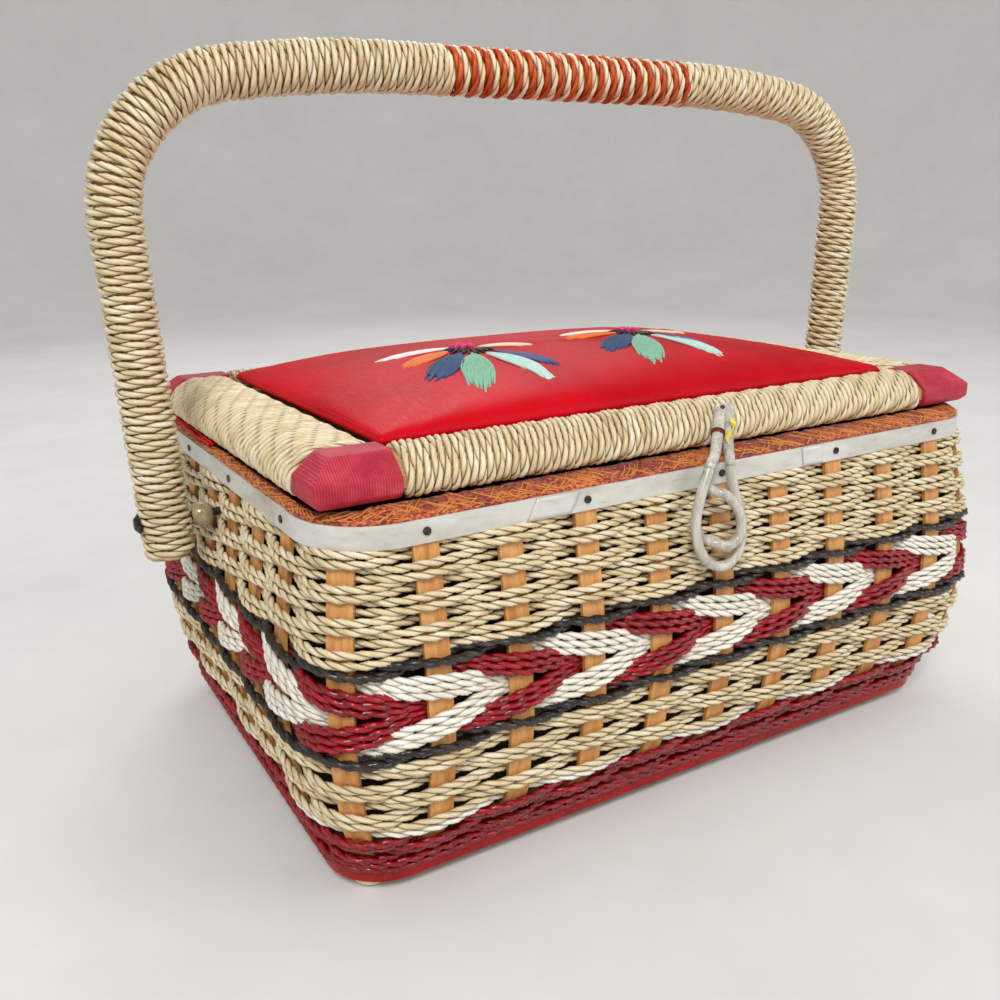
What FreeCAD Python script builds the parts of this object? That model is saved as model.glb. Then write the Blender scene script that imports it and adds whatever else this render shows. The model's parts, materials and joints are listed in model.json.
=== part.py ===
import FreeCAD, Part
import Sketcher
import math
import os

# Wicker sewing box: woven basket on a wooden base, padded lid hinged at the
# rear, vinyl latch at the front and a cord-wrapped swing handle.
# Frame: millimetres, X along the front, -Y towards the front, Z up,
# origin on the floor under the middle of the box.

V = FreeCAD.Vector
X_AXIS = V(1, 0, 0)
Y_AXIS = V(0, 1, 0)
Z_AXIS = V(0, 0, 1)

# Driving dimensions
DRIVING = (
    ("rim_half_length", 150.0),
    ("rim_half_depth", 109.5),
    ("rim_corner_radius", 26.0),
    ("rim_height", 7.6),
    ("rim_band_thickness", 1.0),
    ("rim_hoop_thickness", 3.0),
    ("seat_gap", 0.1),
    ("foot_height", 5.0),
    ("foot_radius", 7.0),
    ("foot_inset", 12.0),
    ("foot_flat_radius", 3.2),
    ("base_side_inset", 4.0),
    ("base_front_inset", 9.5),
    ("base_band_height", 7.5),
    ("red_rows_height", 15.5),
    ("white_row_height", 4.0),
    ("lower_rows_height", 26.0),
    ("dark_row_height", 4.0),
    ("chevron_height", 25.0),
    ("upper_rows_height", 34.5),
    ("bulge_red_top", 3.0),
    ("bulge_white_top", 4.5),
    ("bulge_belly", 8.5),
    ("bulge_chevron_top", 7.2),
    ("bulge_dark_top", 6.8),
    ("stake_width", 8.6),
    ("stake_thickness", 1.8),
    ("stake_cover", 2.6),
    ("stake_end_gap", 0.5),
    ("front_stake_margin", 32.8),
    ("side_stake_margin", 36.25),
    ("front_stake_count", 9),
    ("side_stake_count", 6),
    ("lining_thickness", 1.2),
    ("lining_gap", 1.3),
    ("lining_taper_height", 19.5),
    ("lining_hinge_gap", 0.6),
    ("trim_height", 3.2),
    ("trim_thickness", 3.0),
    ("trim_inset", 1.6),
    ("nail_radius", 0.6),
    ("nail_head_radius", 1.3),
    ("nail_head_height", 0.5),
    ("nail_length", 2.0),
    ("lid_clearance", 0.5),
    ("lid_end_inset", 0.5),
    ("lid_front_inset", 7.0),
    ("lid_bar_height", 16.0),
    ("lid_bar_tuck", 2.5),
    ("lid_bar_bevel", 8.0),
    ("lid_bevel_height", 7.0),
    ("front_bar_width", 21.5),
    ("side_bar_width", 30.0),
    ("cover_length", 30.0),
    ("cord_wrap", 2.6),
    ("cover_recess", 0.8),
    ("panel_corner_radius", 4.3),
    ("lid_board_thickness", 4.0),
    ("lid_board_rise", 4.0),
    ("lid_lining_thickness", 1.5),
    ("pad_edge_rise", 1.0),
    ("pad_crown", 13.0),
    ("pad_gap", 0.4),
    ("hinge_barrel_radius", 2.0),
    ("hinge_pin_radius", 0.9),
    ("running_clearance", 0.05),
    ("hinge_leaf_thickness", 0.8),
    ("hinge_leaf_height", 10.0),
    ("hinge_width", 24.0),
    ("hinge_spacing", 170.0),
    ("knuckle_gap", 0.3),
    ("handle_rise", 159.0),
    ("handle_pivot_drop", 12.0),
    ("handle_splay", 2.4),
    ("handle_corner_radius", 48.0),
    ("handle_crown_radius", 440.0),
    ("handle_core_radius", 6.4),
    ("handle_foot_drop", 14.0),
    ("grip_half_length", 58.0),
    ("grip_offset", 10.0),
    ("grip_turns", 20),
    ("grip_cord_gap", 0.2),
    ("grip_end_gap", 0.4),
    ("pin_radius", 1.6),
    ("pin_head_radius", 4.0),
    ("pin_head_height", 1.8),
    ("bead_radius", 4.8),
    ("bead_length", 7.46),
    ("bead_play", 0.3),
    ("block_half_width", 12.0),
    ("block_height", 20.0),
    ("latch_tube_radius", 2.1),
    ("latch_strand_offset", 2.6),
    ("latch_loop_radius", 8.6),
    ("latch_loop_length", 41.0),
    ("latch_lean", 5.0),
    ("latch_wall_gap", 0.3),
    ("latch_flex_gap", 0.7),
    ("latch_tab_share", 0.8),
    ("catch_tube_radius", 1.8),
    ("catch_reach", 9.0),
    ("catch_rim_gap", 1.45),
    ("catch_height", 17.5),
    ("catch_bite", 2.2),
    ("catch_bend_radius", 4.5),
    ("tack_radius", 0.8),
    ("tack_head_radius", 1.9),
)

os.makedirs("parts", exist_ok=True)
doc = FreeCAD.newDocument("sewing_box")
sheet = doc.addObject("Spreadsheet::Sheet", "dims")
for row, (alias, value) in enumerate(DRIVING, start=1):
    sheet.set(f"A{row}", alias)
    sheet.set(f"B{row}", str(value))
    sheet.setAlias(f"B{row}", alias)
doc.recompute()


def size(alias):
    return float(getattr(sheet, alias))


nodes = []


def node(obj, label):
    obj.Label = label
    nodes.append(obj)
    return obj


def shape_node(label, shape):
    obj = doc.addObject("Part::Feature", label)
    obj.Shape = shape
    return node(obj, label)


def merged(solids):
    return solids[0].multiFuse(solids[1:]) if len(solids) > 1 else solids[0]


def extruded(points, direction):
    return Part.Face(Part.makePolygon(points + points[:1])).extrude(direction)


def rod(start, direction, radius, length):
    return Part.makeCylinder(radius, length, start, direction)


# Heights of the basket, from the floor up
BASE_BOTTOM = size("foot_height")
BASE_TOP = BASE_BOTTOM + size("base_band_height")
RED_TOP = BASE_TOP + size("red_rows_height")
WHITE_TOP = RED_TOP + size("white_row_height")
LOWER_TOP = WHITE_TOP + size("lower_rows_height")
DARK_LOW_TOP = LOWER_TOP + size("dark_row_height")
CHEVRON_TOP = DARK_LOW_TOP + size("chevron_height")
DARK_HIGH_TOP = CHEVRON_TOP + size("dark_row_height")
RIM_BOTTOM = DARK_HIGH_TOP + size("upper_rows_height")
RIM_TOP = RIM_BOTTOM + size("rim_height")
TRIM_TOP = RIM_TOP + size("trim_height")
LID_BOTTOM = TRIM_TOP + size("lid_clearance")
LID_TOP = LID_BOTTOM + size("lid_bar_height")

GAP = size("seat_gap")
HALF_LENGTH = size("rim_half_length")
HALF_DEPTH = size("rim_half_depth")
COVER = size("stake_cover")
WEAVE_THICKNESS = 2 * COVER + size("stake_thickness")
RIM_BULGE = COVER - size("rim_band_thickness")
HOOP_OUTER = size("rim_band_thickness") + size("stake_thickness") + GAP
HOOP_INNER = HOOP_OUTER + size("rim_hoop_thickness")
LINING_OUTER = HOOP_INNER + size("lining_gap")
BARREL = size("hinge_barrel_radius")
HINGE_Z = LID_BOTTOM - GAP - BARREL

# The wall's outer face: height, offset of the ends, offset of front and rear
BASE_OFFSETS = (-size("base_side_inset"), -size("base_front_inset"))
WALL = (
    (BASE_BOTTOM, *BASE_OFFSETS),
    (BASE_TOP, *BASE_OFFSETS),
    (RED_TOP, size("bulge_red_top"), size("bulge_red_top")),
    (WHITE_TOP, size("bulge_white_top"), size("bulge_white_top")),
    (LOWER_TOP, size("bulge_belly"), size("bulge_belly")),
    (DARK_LOW_TOP, size("bulge_belly"), size("bulge_belly")),
    (CHEVRON_TOP, size("bulge_chevron_top"), size("bulge_chevron_top")),
    (DARK_HIGH_TOP, size("bulge_dark_top"), size("bulge_dark_top")),
    (RIM_BOTTOM, RIM_BULGE, RIM_BULGE),
    (RIM_TOP, RIM_BULGE, RIM_BULGE),
)


def wall_offsets(z):
    for (z0, side0, front0), (z1, side1, front1) in zip(WALL, WALL[1:]):
        if z <= z1:
            share = (z - z0) / (z1 - z0)
            return side0 + share * (side1 - side0), front0 + share * (front1 - front0)
    return WALL[-1][1:]


def corner_radius(side, front, inset):
    return size("rim_corner_radius") + min(side, front) / 2 - inset


def rounded_outline(half_x, half_y, radius, z):
    """Closed wire of four lines and four quarter arcs, level at height z."""
    edges = []
    mid = radius * math.sqrt(0.5)
    for sign_x, sign_y in ((1, -1), (1, 1), (-1, 1), (-1, -1)):
        cx = sign_x * (half_x - radius)
        cy = sign_y * (half_y - radius)
        on_end = V(cx + sign_x * radius, cy, z)
        on_side = V(cx, cy + sign_y * radius, z)
        middle = V(cx + sign_x * mid, cy + sign_y * mid, z)
        ends = (on_side, on_end) if sign_x * sign_y < 0 else (on_end, on_side)
        if edges:
            edges.append(Part.LineSegment(edges[-1].EndPoint, ends[0]))
        edges.append(Part.Arc(ends[0], middle, ends[1]))
    edges.append(Part.LineSegment(edges[-1].EndPoint, edges[0].StartPoint))
    return Part.Wire([edge.toShape() for edge in edges])


def wall_outline(z, inset):
    side, front = wall_offsets(z)
    radius = corner_radius(side, front, inset)
    return rounded_outline(HALF_LENGTH + side - inset, HALF_DEPTH + front - inset, radius, z)


def wall_ring(z0, z1, thickness):
    outer = Part.makeLoft([wall_outline(z0, 0), wall_outline(z1, 0)], True, True)
    inner = Part.makeLoft([wall_outline(z0, thickness), wall_outline(z1, thickness)], True, True)
    return outer.cut(inner)


# Flat rings and boards: a rounded rectangle sketch with bound sizes, padded
def rounded_loop(sketch, half_x, half_y, radius, prefix, values):
    """One closed loop; half_x, half_y and radius are expressions on the sheet."""
    hx, hy, r = values
    first = sketch.GeometryCount
    corners = ((1, 1, 0), (-1, 1, 90), (-1, -1, 180), (1, -1, 270))
    for sx, sy, start in corners:
        centre = V(sx * (hx - r), sy * (hy - r), 0)
        circle = Part.Circle(centre, Z_AXIS, r)
        sketch.addGeometry(Part.ArcOfCircle(circle, math.radians(start), math.radians(start + 90)))
    lines = (
        (V(hx - r, hy, 0), V(-hx + r, hy, 0)),
        (V(-hx, hy - r, 0), V(-hx, -hy + r, 0)),
        (V(-hx + r, -hy, 0), V(hx - r, -hy, 0)),
        (V(hx, -hy + r, 0), V(hx, hy - r, 0)),
    )
    for start, end in lines:
        sketch.addGeometry(Part.LineSegment(start, end))
    for index in range(4):
        arc = first + index
        line = first + 4 + index
        following = first + (index + 1) % 4
        sketch.addConstraint(Sketcher.Constraint("Tangent", arc, 2, line, 1))
        sketch.addConstraint(Sketcher.Constraint("Tangent", line, 2, following, 1))
        if index:
            sketch.addConstraint(Sketcher.Constraint("Equal", first, arc))
    sketch.addConstraint(Sketcher.Constraint("Horizontal", first + 4))
    sketch.addConstraint(Sketcher.Constraint("Vertical", first + 5))
    sketch.addConstraint(Sketcher.Constraint("Symmetric", first, 3, first + 2, 3, -1, 1))
    for name, kind, picks, value, text in (
        ("radius", "Radius", (first,), r, radius),
        ("half_x", "DistanceX", (-1, 1, first, 1), hx, half_x),
        ("half_y", "DistanceY", (-1, 1, first, 2), hy, half_y),
    ):
        number = sketch.addConstraint(Sketcher.Constraint(kind, *picks, value))
        sketch.renameConstraint(number, prefix + name)
        sketch.setExpression("Constraints." + prefix + name, text)


def sheet_value(text):
    """The number that an expression on the sheet gives."""
    sheet.set("D1", "=" + text.replace("dims.", ""))
    doc.recompute()
    return float(sheet.get("D1"))


def slab(label, outer, inner, z_text, height_text):
    """Pad of a rounded rectangle, with a rounded opening where inner is given."""
    body = doc.addObject("PartDesign::Body", label)
    sketch = body.newObject("Sketcher::SketchObject", label + "_sketch")
    plane = [f for f in body.Origin.OriginFeatures if f.Role == "XY_Plane"][0]
    sketch.AttachmentSupport = [(plane, "")]
    sketch.MapMode = "FlatFace"
    for prefix, loop in (("outer_", outer), ("inner_", inner)):
        if loop:
            rounded_loop(sketch, *loop, prefix, [sheet_value(text) for text in loop])
    pad = body.newObject("PartDesign::Pad", label + "_pad")
    pad.Profile = sketch
    pad.setExpression("Length", height_text)
    body.setExpression("Placement.Base.z", z_text)
    doc.recompute()
    return body


def loop_text(half_x, half_y, radius, inset):
    return tuple(f"{text} - ({inset})" for text in (half_x, half_y, radius))


def rim_loop(inset):
    return loop_text("dims.rim_half_length", "dims.rim_half_depth", "dims.rim_corner_radius", inset)


BASE_X = "(dims.rim_half_length - dims.base_side_inset)"
BASE_Y = "(dims.rim_half_depth - dims.base_front_inset)"
BASE_R = "(dims.rim_corner_radius - max(dims.base_side_inset; dims.base_front_inset) / 2)"


def base_loop(inset):
    return loop_text(BASE_X, BASE_Y, BASE_R, inset)


BASE_TOP_TEXT = "dims.foot_height + dims.base_band_height"
RIM_BOTTOM_TEXT = (
    BASE_TOP_TEXT + " + dims.red_rows_height + dims.white_row_height + dims.lower_rows_height"
    " + 2 * dims.dark_row_height + dims.chevron_height + dims.upper_rows_height"
)
RIM_TOP_TEXT = RIM_BOTTOM_TEXT + " + dims.rim_height"
LID_BOTTOM_TEXT = RIM_TOP_TEXT + " + dims.trim_height + dims.lid_clearance"
LID_BOARD_TEXT = LID_BOTTOM_TEXT + " + dims.lid_board_rise"


# Stakes: flat strips that follow the wall from the base to the rim
def strip(levels, place, tangent, normal, half_width, half_thickness):
    """Ruled solid through level rectangles; place(z) is the strip's middle."""
    wires = []
    for z in levels:
        middle = place(z)
        across = tangent * half_width
        through = normal * half_thickness
        corners = [middle - across - through, middle + across - through]
        corners += [middle + across + through, middle - across + through]
        wires.append(Part.makePolygon(corners + corners[:1]))
    return Part.makeLoft(wires, True, True)


STAKE_DEPTH = COVER + size("stake_thickness") / 2
STAKE_FOOT = BASE_BOTTOM + size("stake_end_gap")
STAKE_HEAD = RIM_TOP - size("stake_end_gap")
WALL_LEVELS = [level[0] for level in WALL[1:-1]]


def side_place(sign, along, is_end):
    def place(z):
        side, front = wall_offsets(z)
        if is_end:
            return V(sign * (HALF_LENGTH + side - STAKE_DEPTH), along, z)
        return V(along, sign * (HALF_DEPTH + front - STAKE_DEPTH), z)

    return place


def corner_place(sign_x, sign_y):
    def place(z):
        side, front = wall_offsets(z)
        radius = corner_radius(side, front, 0)
        reach = (radius - STAKE_DEPTH) * math.sqrt(0.5) - radius
        return V(sign_x * (HALF_LENGTH + side + reach), sign_y * (HALF_DEPTH + front + reach), z)

    return place


def spread(count, reach):
    """Even places from -reach to reach."""
    return [(2 * index / (count - 1) - 1) * reach for index in range(count)]


FRONT_STAKES = spread(int(size("front_stake_count")), HALF_LENGTH - size("front_stake_margin"))
SIDE_STAKES = spread(int(size("side_stake_count")), HALF_DEPTH - size("side_stake_margin"))
FULL_LEVELS = [STAKE_FOOT] + WALL_LEVELS + [STAKE_HEAD]
CORNER_LEVELS = [BASE_TOP + GAP] + WALL_LEVELS[1:-1] + [RIM_BOTTOM - GAP]
DIAGONAL = math.sqrt(0.5)

stake_rows = {"front_stakes": [], "rear_stakes": [], "left_stakes": [], "right_stakes": []}
for along in FRONT_STAKES:
    stake_rows["front_stakes"].append((FULL_LEVELS, side_place(-1, along, False), X_AXIS, Y_AXIS))
    stake_rows["rear_stakes"].append((FULL_LEVELS, side_place(1, along, False), X_AXIS, Y_AXIS))
for along in SIDE_STAKES:
    stake_rows["left_stakes"].append((FULL_LEVELS, side_place(-1, along, True), Y_AXIS, X_AXIS))
    stake_rows["right_stakes"].append((FULL_LEVELS, side_place(1, along, True), Y_AXIS, X_AXIS))
stake_rows["corner_stakes"] = [
    (
        CORNER_LEVELS,
        corner_place(sign_x, sign_y),
        V(-sign_y * DIAGONAL, sign_x * DIAGONAL, 0),
        V(sign_x * DIAGONAL, sign_y * DIAGONAL, 0),
    )
    for sign_x in (-1, 1)
    for sign_y in (-1, 1)
]

HALF_STAKE_WIDTH = size("stake_width") / 2
HALF_STAKE_THICKNESS = size("stake_thickness") / 2
slots = []
stakes = {}
for label, rows in stake_rows.items():
    stakes[label] = [
        strip(*row, HALF_STAKE_WIDTH, HALF_STAKE_THICKNESS - GAP) for row in rows
    ]
    slots += [strip(*row, HALF_STAKE_WIDTH + GAP, HALF_STAKE_THICKNESS) for row in rows]
slots = Part.makeCompound(slots)


# Nails through the rim band and the base band into the stakes
def nail(point, outward, reach):
    """Head on the outer face at point, shank reach deep."""
    shank = rod(point - outward * reach, outward, size("nail_radius"), reach)
    head = rod(point, outward, size("nail_head_radius"), size("nail_head_height"))
    return shank.fuse(head)


def nail_points(z, side_half, front_half, picks):
    points = []
    for index in picks(len(FRONT_STAKES)):
        points.append((V(FRONT_STAKES[index], -front_half, z), V(0, -1, 0)))
        points.append((V(FRONT_STAKES[index], front_half, z), V(0, 1, 0)))
    for index in picks(len(SIDE_STAKES)):
        points.append((V(-side_half, SIDE_STAKES[index], z), V(-1, 0, 0)))
        points.append((V(side_half, SIDE_STAKES[index], z), V(1, 0, 0)))
    return points


NAIL_REACH = size("nail_length")
rim_nail_points = nail_points(
    (RIM_BOTTOM + RIM_TOP) / 2, HALF_LENGTH, HALF_DEPTH, lambda count: range(0, count, 2)
)
base_nail_points = nail_points(
    (BASE_BOTTOM + BASE_TOP) / 2,
    HALF_LENGTH - size("base_side_inset"),
    HALF_DEPTH - size("base_front_inset"),
    lambda count: range(1, count, 2),
)
rim_nails = [nail(p, out, NAIL_REACH) for p, out in rim_nail_points]
base_nails = [nail(p, out, NAIL_REACH + COVER) for p, out in base_nail_points]
nail_holes = []
for points, reach in ((rim_nail_points, NAIL_REACH), (base_nail_points, NAIL_REACH + COVER)):
    for point, outward in points:
        start = point - outward * (reach + GAP)
        nail_holes.append(rod(start, outward, size("nail_radius") + GAP / 2, reach + 2 * GAP))
nail_holes = Part.makeCompound(nail_holes)

for label, strips in stakes.items():
    shape_node(label, Part.makeCompound([one.cut(nail_holes) for one in strips]))
shape_node("rim_nails", Part.makeCompound(rim_nails))
shape_node("base_nails", Part.makeCompound(base_nails))


def cut_node(label, body, tools):
    """A bound body with holes taken out of it."""
    tool = doc.addObject("Part::Feature", label + "_holes")
    tool.Shape = tools
    cut = doc.addObject("Part::Cut", label)
    cut.Base = body
    cut.Tool = tool
    doc.recompute()
    return node(cut, label)


# Base: board, painted band and dome feet with their nails
FOOT_X = HALF_LENGTH - size("base_side_inset") - size("foot_inset")
FOOT_Y = HALF_DEPTH - size("base_front_inset") - size("foot_inset")
FOOT_PLACES = [V(sx * FOOT_X, sy * FOOT_Y, 0) for sx in (-1, 1) for sy in (-1, 1)]
FOOT_NAIL_TOP = BASE_BOTTOM + size("nail_length")
FOOT_NAIL_SEAT = BASE_BOTTOM / 2


def foot(place):
    """Dome with a flat tread, bored for its nail."""
    flat = size("foot_flat_radius")
    rim = size("foot_radius")
    bulge = V((flat + 2 * rim) / 3, 0, BASE_BOTTOM / 3)
    profile = [
        Part.LineSegment(V(0, 0, 0), V(flat, 0, 0)),
        Part.Arc(V(flat, 0, 0), bulge, V(rim, 0, BASE_BOTTOM)),
        Part.LineSegment(V(rim, 0, BASE_BOTTOM), V(0, 0, BASE_BOTTOM)),
        Part.LineSegment(V(0, 0, BASE_BOTTOM), V(0, 0, 0)),
    ]
    face = Part.Face(Part.Wire([edge.toShape() for edge in profile]))
    dome = face.revolve(V(0, 0, 0), Z_AXIS, 360)
    dome = dome.cut(rod(V(0, 0, 0), Z_AXIS, size("nail_radius") + GAP / 2, BASE_BOTTOM))
    bore = rod(V(0, 0, 0), Z_AXIS, size("nail_head_radius") + GAP, FOOT_NAIL_SEAT)
    dome = dome.cut(bore)
    dome.translate(place)
    return dome


def foot_nail(place):
    head_bottom = FOOT_NAIL_SEAT - size("nail_head_height")
    head = rod(V(0, 0, head_bottom), Z_AXIS, size("nail_head_radius"), size("nail_head_height"))
    length = FOOT_NAIL_TOP - FOOT_NAIL_SEAT
    both = head.fuse(rod(V(0, 0, FOOT_NAIL_SEAT), Z_AXIS, size("nail_radius"), length))
    both.translate(place)
    return both


foot_holes = Part.makeCompound(
    [
        rod(p + Z_AXIS * BASE_BOTTOM, Z_AXIS, size("nail_radius") + GAP / 2, NAIL_REACH + GAP)
        for p in FOOT_PLACES
    ]
)
BOARD_INSET = "dims.stake_cover + dims.stake_thickness"
board = slab(
    "base_board_pad", base_loop(BOARD_INSET), None, "dims.foot_height", "dims.base_band_height"
)
cut_node("base_board", board, Part.makeCompound([foot_holes, nail_holes]))
band = slab(
    "base_band_pad", base_loop("0"), base_loop("dims.stake_cover"), "dims.foot_height",
    "dims.base_band_height",
)
cut_node("base_band", band, nail_holes)
shape_node("feet", Part.makeCompound([foot(p) for p in FOOT_PLACES]))
shape_node("foot_nails", Part.makeCompound([foot_nail(p) for p in FOOT_PLACES]))

# Rim: wooden hoop inside the stakes, grey band outside them, lining edge on top
HOOP_OUTER_TEXT = "dims.rim_band_thickness + dims.stake_thickness + dims.seat_gap"
HOOP_INNER_TEXT = HOOP_OUTER_TEXT + " + dims.rim_hoop_thickness"
hoop_loops = (rim_loop(HOOP_OUTER_TEXT), rim_loop(HOOP_INNER_TEXT))
node(slab("rim_hoop", *hoop_loops, RIM_BOTTOM_TEXT, "dims.rim_height"), "rim_hoop")
band_loops = (rim_loop("0"), rim_loop("dims.rim_band_thickness"))
rim = slab("rim_band_pad", *band_loops, RIM_BOTTOM_TEXT, "dims.rim_height")
cut_node("rim_band", rim, nail_holes)
TRIM_INNER_TEXT = "dims.trim_inset + dims.trim_thickness"
trim_loops = (rim_loop("dims.trim_inset"), rim_loop(TRIM_INNER_TEXT))
node(slab("lining_trim", *trim_loops, RIM_TOP_TEXT, "dims.trim_height"), "lining_trim")

# Handle path in the plane Y = 0, right half from the foot to the grip
PIVOT_Z = RIM_BOTTOM - size("handle_pivot_drop")
HANDLE_TOP = PIVOT_Z + size("handle_rise")
SPLAY = math.radians(size("handle_splay"))
CORE = size("handle_core_radius")
WRAP = size("cord_wrap")
LEG_HALF = (CORE + WRAP) / math.cos(SPLAY)
BEAD_IN = HALF_LENGTH + wall_offsets(PIVOT_Z - size("bead_radius"))[0] + GAP
BEAD_OUT = BEAD_IN + size("bead_length")
PIVOT_X = BEAD_OUT + size("bead_play") + LEG_HALF
BEND = size("handle_corner_radius")
CROWN = size("handle_crown_radius")
GRIP = size("grip_half_length")
GRIP_OFFSET = size("grip_offset")
STRAIGHT = GRIP + GRIP_OFFSET
leg = V(math.sin(SPLAY), 0, math.cos(SPLAY))
inward = V(-math.cos(SPLAY), 0, math.sin(SPLAY))
pivot = V(PIVOT_X, 0, PIVOT_Z)
crown_centre = V(STRAIGHT, 0, HANDLE_TOP - CROWN)
from_crown = pivot + inward * BEND - crown_centre
along_leg = from_crown.dot(leg)
climb = -along_leg + math.sqrt(along_leg**2 - from_crown.dot(from_crown) + (CROWN - BEND) ** 2)
bend_centre = pivot + inward * BEND + leg * climb
leg_top = pivot + leg * climb
shoulder = crown_centre + (bend_centre - crown_centre) * (CROWN / (CROWN - BEND))
grip_end = V(STRAIGHT, 0, HANDLE_TOP)
leg_foot = pivot - leg * size("handle_foot_drop")


def arc_between(start, end, centre):
    radius = (start - centre).Length
    half_way = (start + end) * 0.5 - centre
    half_way.normalize()
    return Part.Arc(start, centre + half_way * radius, end)


half_path = [
    Part.LineSegment(leg_foot, leg_top),
    arc_between(leg_top, shoulder, bend_centre),
    arc_between(shoulder, grip_end, crown_centre),
]


def tube(path, radius, start, direction):
    section = Part.Wire(Part.Circle(start, direction, radius).toShape())
    return path.makePipeShell([section], True, False)


def mirrored(shape):
    return shape.mirror(V(0, 0, 0), X_AXIS)


half_wire = Part.Wire([edge.toShape() for edge in half_path])
leg_core = tube(half_wire, CORE, leg_foot, leg)
straight_start = V(-STRAIGHT, 0, HANDLE_TOP)
grip_core = rod(straight_start, X_AXIS, CORE, 2 * STRAIGHT)
pin_bore = rod(V(0, 0, PIVOT_Z), X_AXIS, size("pin_radius") + size("running_clearance"), 2 * PIVOT_X)
right_core = leg_core.cut(pin_bore)
core = merged([right_core, grip_core, mirrored(right_core)]).removeSplitter()
shape_node("handle_core", core)
sleeve = tube(half_wire, CORE + WRAP, leg_foot, leg).cut(tube(half_wire, CORE + GAP, leg_foot, leg))
right_wrap = sleeve.cut(pin_bore)
shape_node("right_handle_wrap", right_wrap)
run_on = rod(straight_start, X_AXIS, CORE + WRAP, 2 * GRIP_OFFSET)
run_on = run_on.cut(rod(straight_start, X_AXIS, CORE + GAP, 2 * GRIP_OFFSET))
shape_node("left_handle_wrap", mirrored(right_wrap).fuse(run_on).removeSplitter())


# Grip windings: two cords wound side by side round the core
def biarc(start, start_dir, end, end_dir):
    """Two tangent arcs from start to end with the given directions."""
    chord = end - start
    total = start_dir + end_dir
    spread_dot = 1 - start_dir.dot(end_dir)
    reach = chord.dot(total)
    pull = (-reach + math.sqrt(reach**2 + 2 * spread_dot * chord.dot(chord))) / (2 * spread_dot)
    joint = (start + end + (start_dir - end_dir) * pull) * 0.5
    arcs = []
    for near, far, corner in (
        (start, joint, start + start_dir * pull),
        (joint, end, end - end_dir * pull),
    ):
        half = (far - near) * 0.5
        base = near + half
        rise = corner - base
        angle = math.atan2(rise.Length, half.Length)
        arcs.append(Part.Arc(near, base + rise * (math.tan(angle / 2) / math.tan(angle)), far))
    return arcs


TURNS = int(size("grip_turns"))
GRIP_RUN = 2 * GRIP - 2 * size("grip_end_gap")
GRIP_CORD = (GRIP_RUN / (2 * TURNS + 1) - size("grip_cord_gap")) / 2
GRIP_PITCH = (GRIP_RUN - 2 * GRIP_CORD) / (TURNS + 0.5)
GRIP_RADIUS = CORE + GAP + GRIP_CORD
QUARTERS = 4
POINTS_PER_ARC = 4


def gap_to_itself(path):
    """Least gap between points of a wound cord that lie half a turn or more apart."""
    points = []
    for edge in path.Edges:
        points += edge.discretize(POINTS_PER_ARC + 1)[:-1]
    half_turn = QUARTERS * POINTS_PER_ARC
    nearest = min(
        (points[near] - points[far]).Length
        for near in range(len(points))
        for far in range(near + half_turn, len(points))
    )
    return nearest - 2 * GRIP_CORD


def winding(label, first_x):
    """One unbroken tube of cord, a quarter turn to each pair of arcs."""

    def at(step):
        angle = step * 2 * math.pi / QUARTERS
        slope = GRIP_PITCH / (2 * math.pi)
        y = GRIP_RADIUS * math.cos(angle)
        z = GRIP_RADIUS * math.sin(angle)
        heading = V(slope, -z, y)
        heading.normalize()
        return V(first_x + slope * angle, y, HANDLE_TOP + z), heading

    arcs = []
    for step in range(TURNS * QUARTERS):
        arcs += biarc(*at(step), *at(step + 1))
    path = Part.Wire([arc.toShape() for arc in arcs])
    start, heading = at(0)
    shape_node(label, tube(path, GRIP_CORD, start, heading))
    print(label, "gap to itself", round(gap_to_itself(path), 3))


FIRST_TURN = GRIP_OFFSET - GRIP + size("grip_end_gap") + GRIP_CORD
winding("grip_winding_orange", FIRST_TURN)
winding("grip_winding_cream", FIRST_TURN + GRIP_PITCH / 2)

# Handle pivots: nail-like pins, wooden beads and blocks behind the weave
LINING_X = HALF_LENGTH - LINING_OUTER
PIN_IN = LINING_X + 2 * GAP
PIN_OUT = PIVOT_X + LEG_HALF + size("bead_play")


def bead():
    """Ball cut flat at both ends and bored for the pin."""
    radius = size("bead_radius")
    middle = V((BEAD_IN + BEAD_OUT) / 2, 0, PIVOT_Z)
    ball = Part.makeSphere(radius, middle, X_AXIS, -90, 90, 360)
    between_ends = rod(V(BEAD_IN, 0, PIVOT_Z), X_AXIS, 2 * radius, size("bead_length"))
    return ball.common(between_ends).cut(pin_bore)


def pivot_pin():
    shank = rod(V(PIN_IN, 0, PIVOT_Z), X_AXIS, size("pin_radius"), PIN_OUT - PIN_IN)
    head = Part.makeCone(
        size("pin_head_radius"), size("pin_head_radius") / 2, size("pin_head_height"),
        V(PIN_OUT, 0, PIVOT_Z), X_AXIS,
    )
    return shank.fuse(head)


def pivot_block():
    low = PIVOT_Z - size("block_height") * 2 / 3
    high = PIVOT_Z + size("block_height") / 3
    inner = LINING_X + GAP
    half = size("block_half_width")

    def weave_face(z):
        return HALF_LENGTH + wall_offsets(z)[0] - WEAVE_THICKNESS - GAP

    outline = [V(inner, -half, low), V(weave_face(low), -half, low)]
    outline += [V(weave_face(z), -half, z) for z, *_ in WALL if low < z < high]
    outline += [V(weave_face(high), -half, high), V(inner, -half, high)]
    return extruded(outline, Y_AXIS * (2 * half)).cut(pin_bore)


for label, piece in (
    ("pivot_beads", bead()),
    ("pivot_pins", pivot_pin()),
    ("pivot_blocks", pivot_block()),
):
    shape_node(label, Part.makeCompound([piece, mirrored(piece)]))

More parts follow.
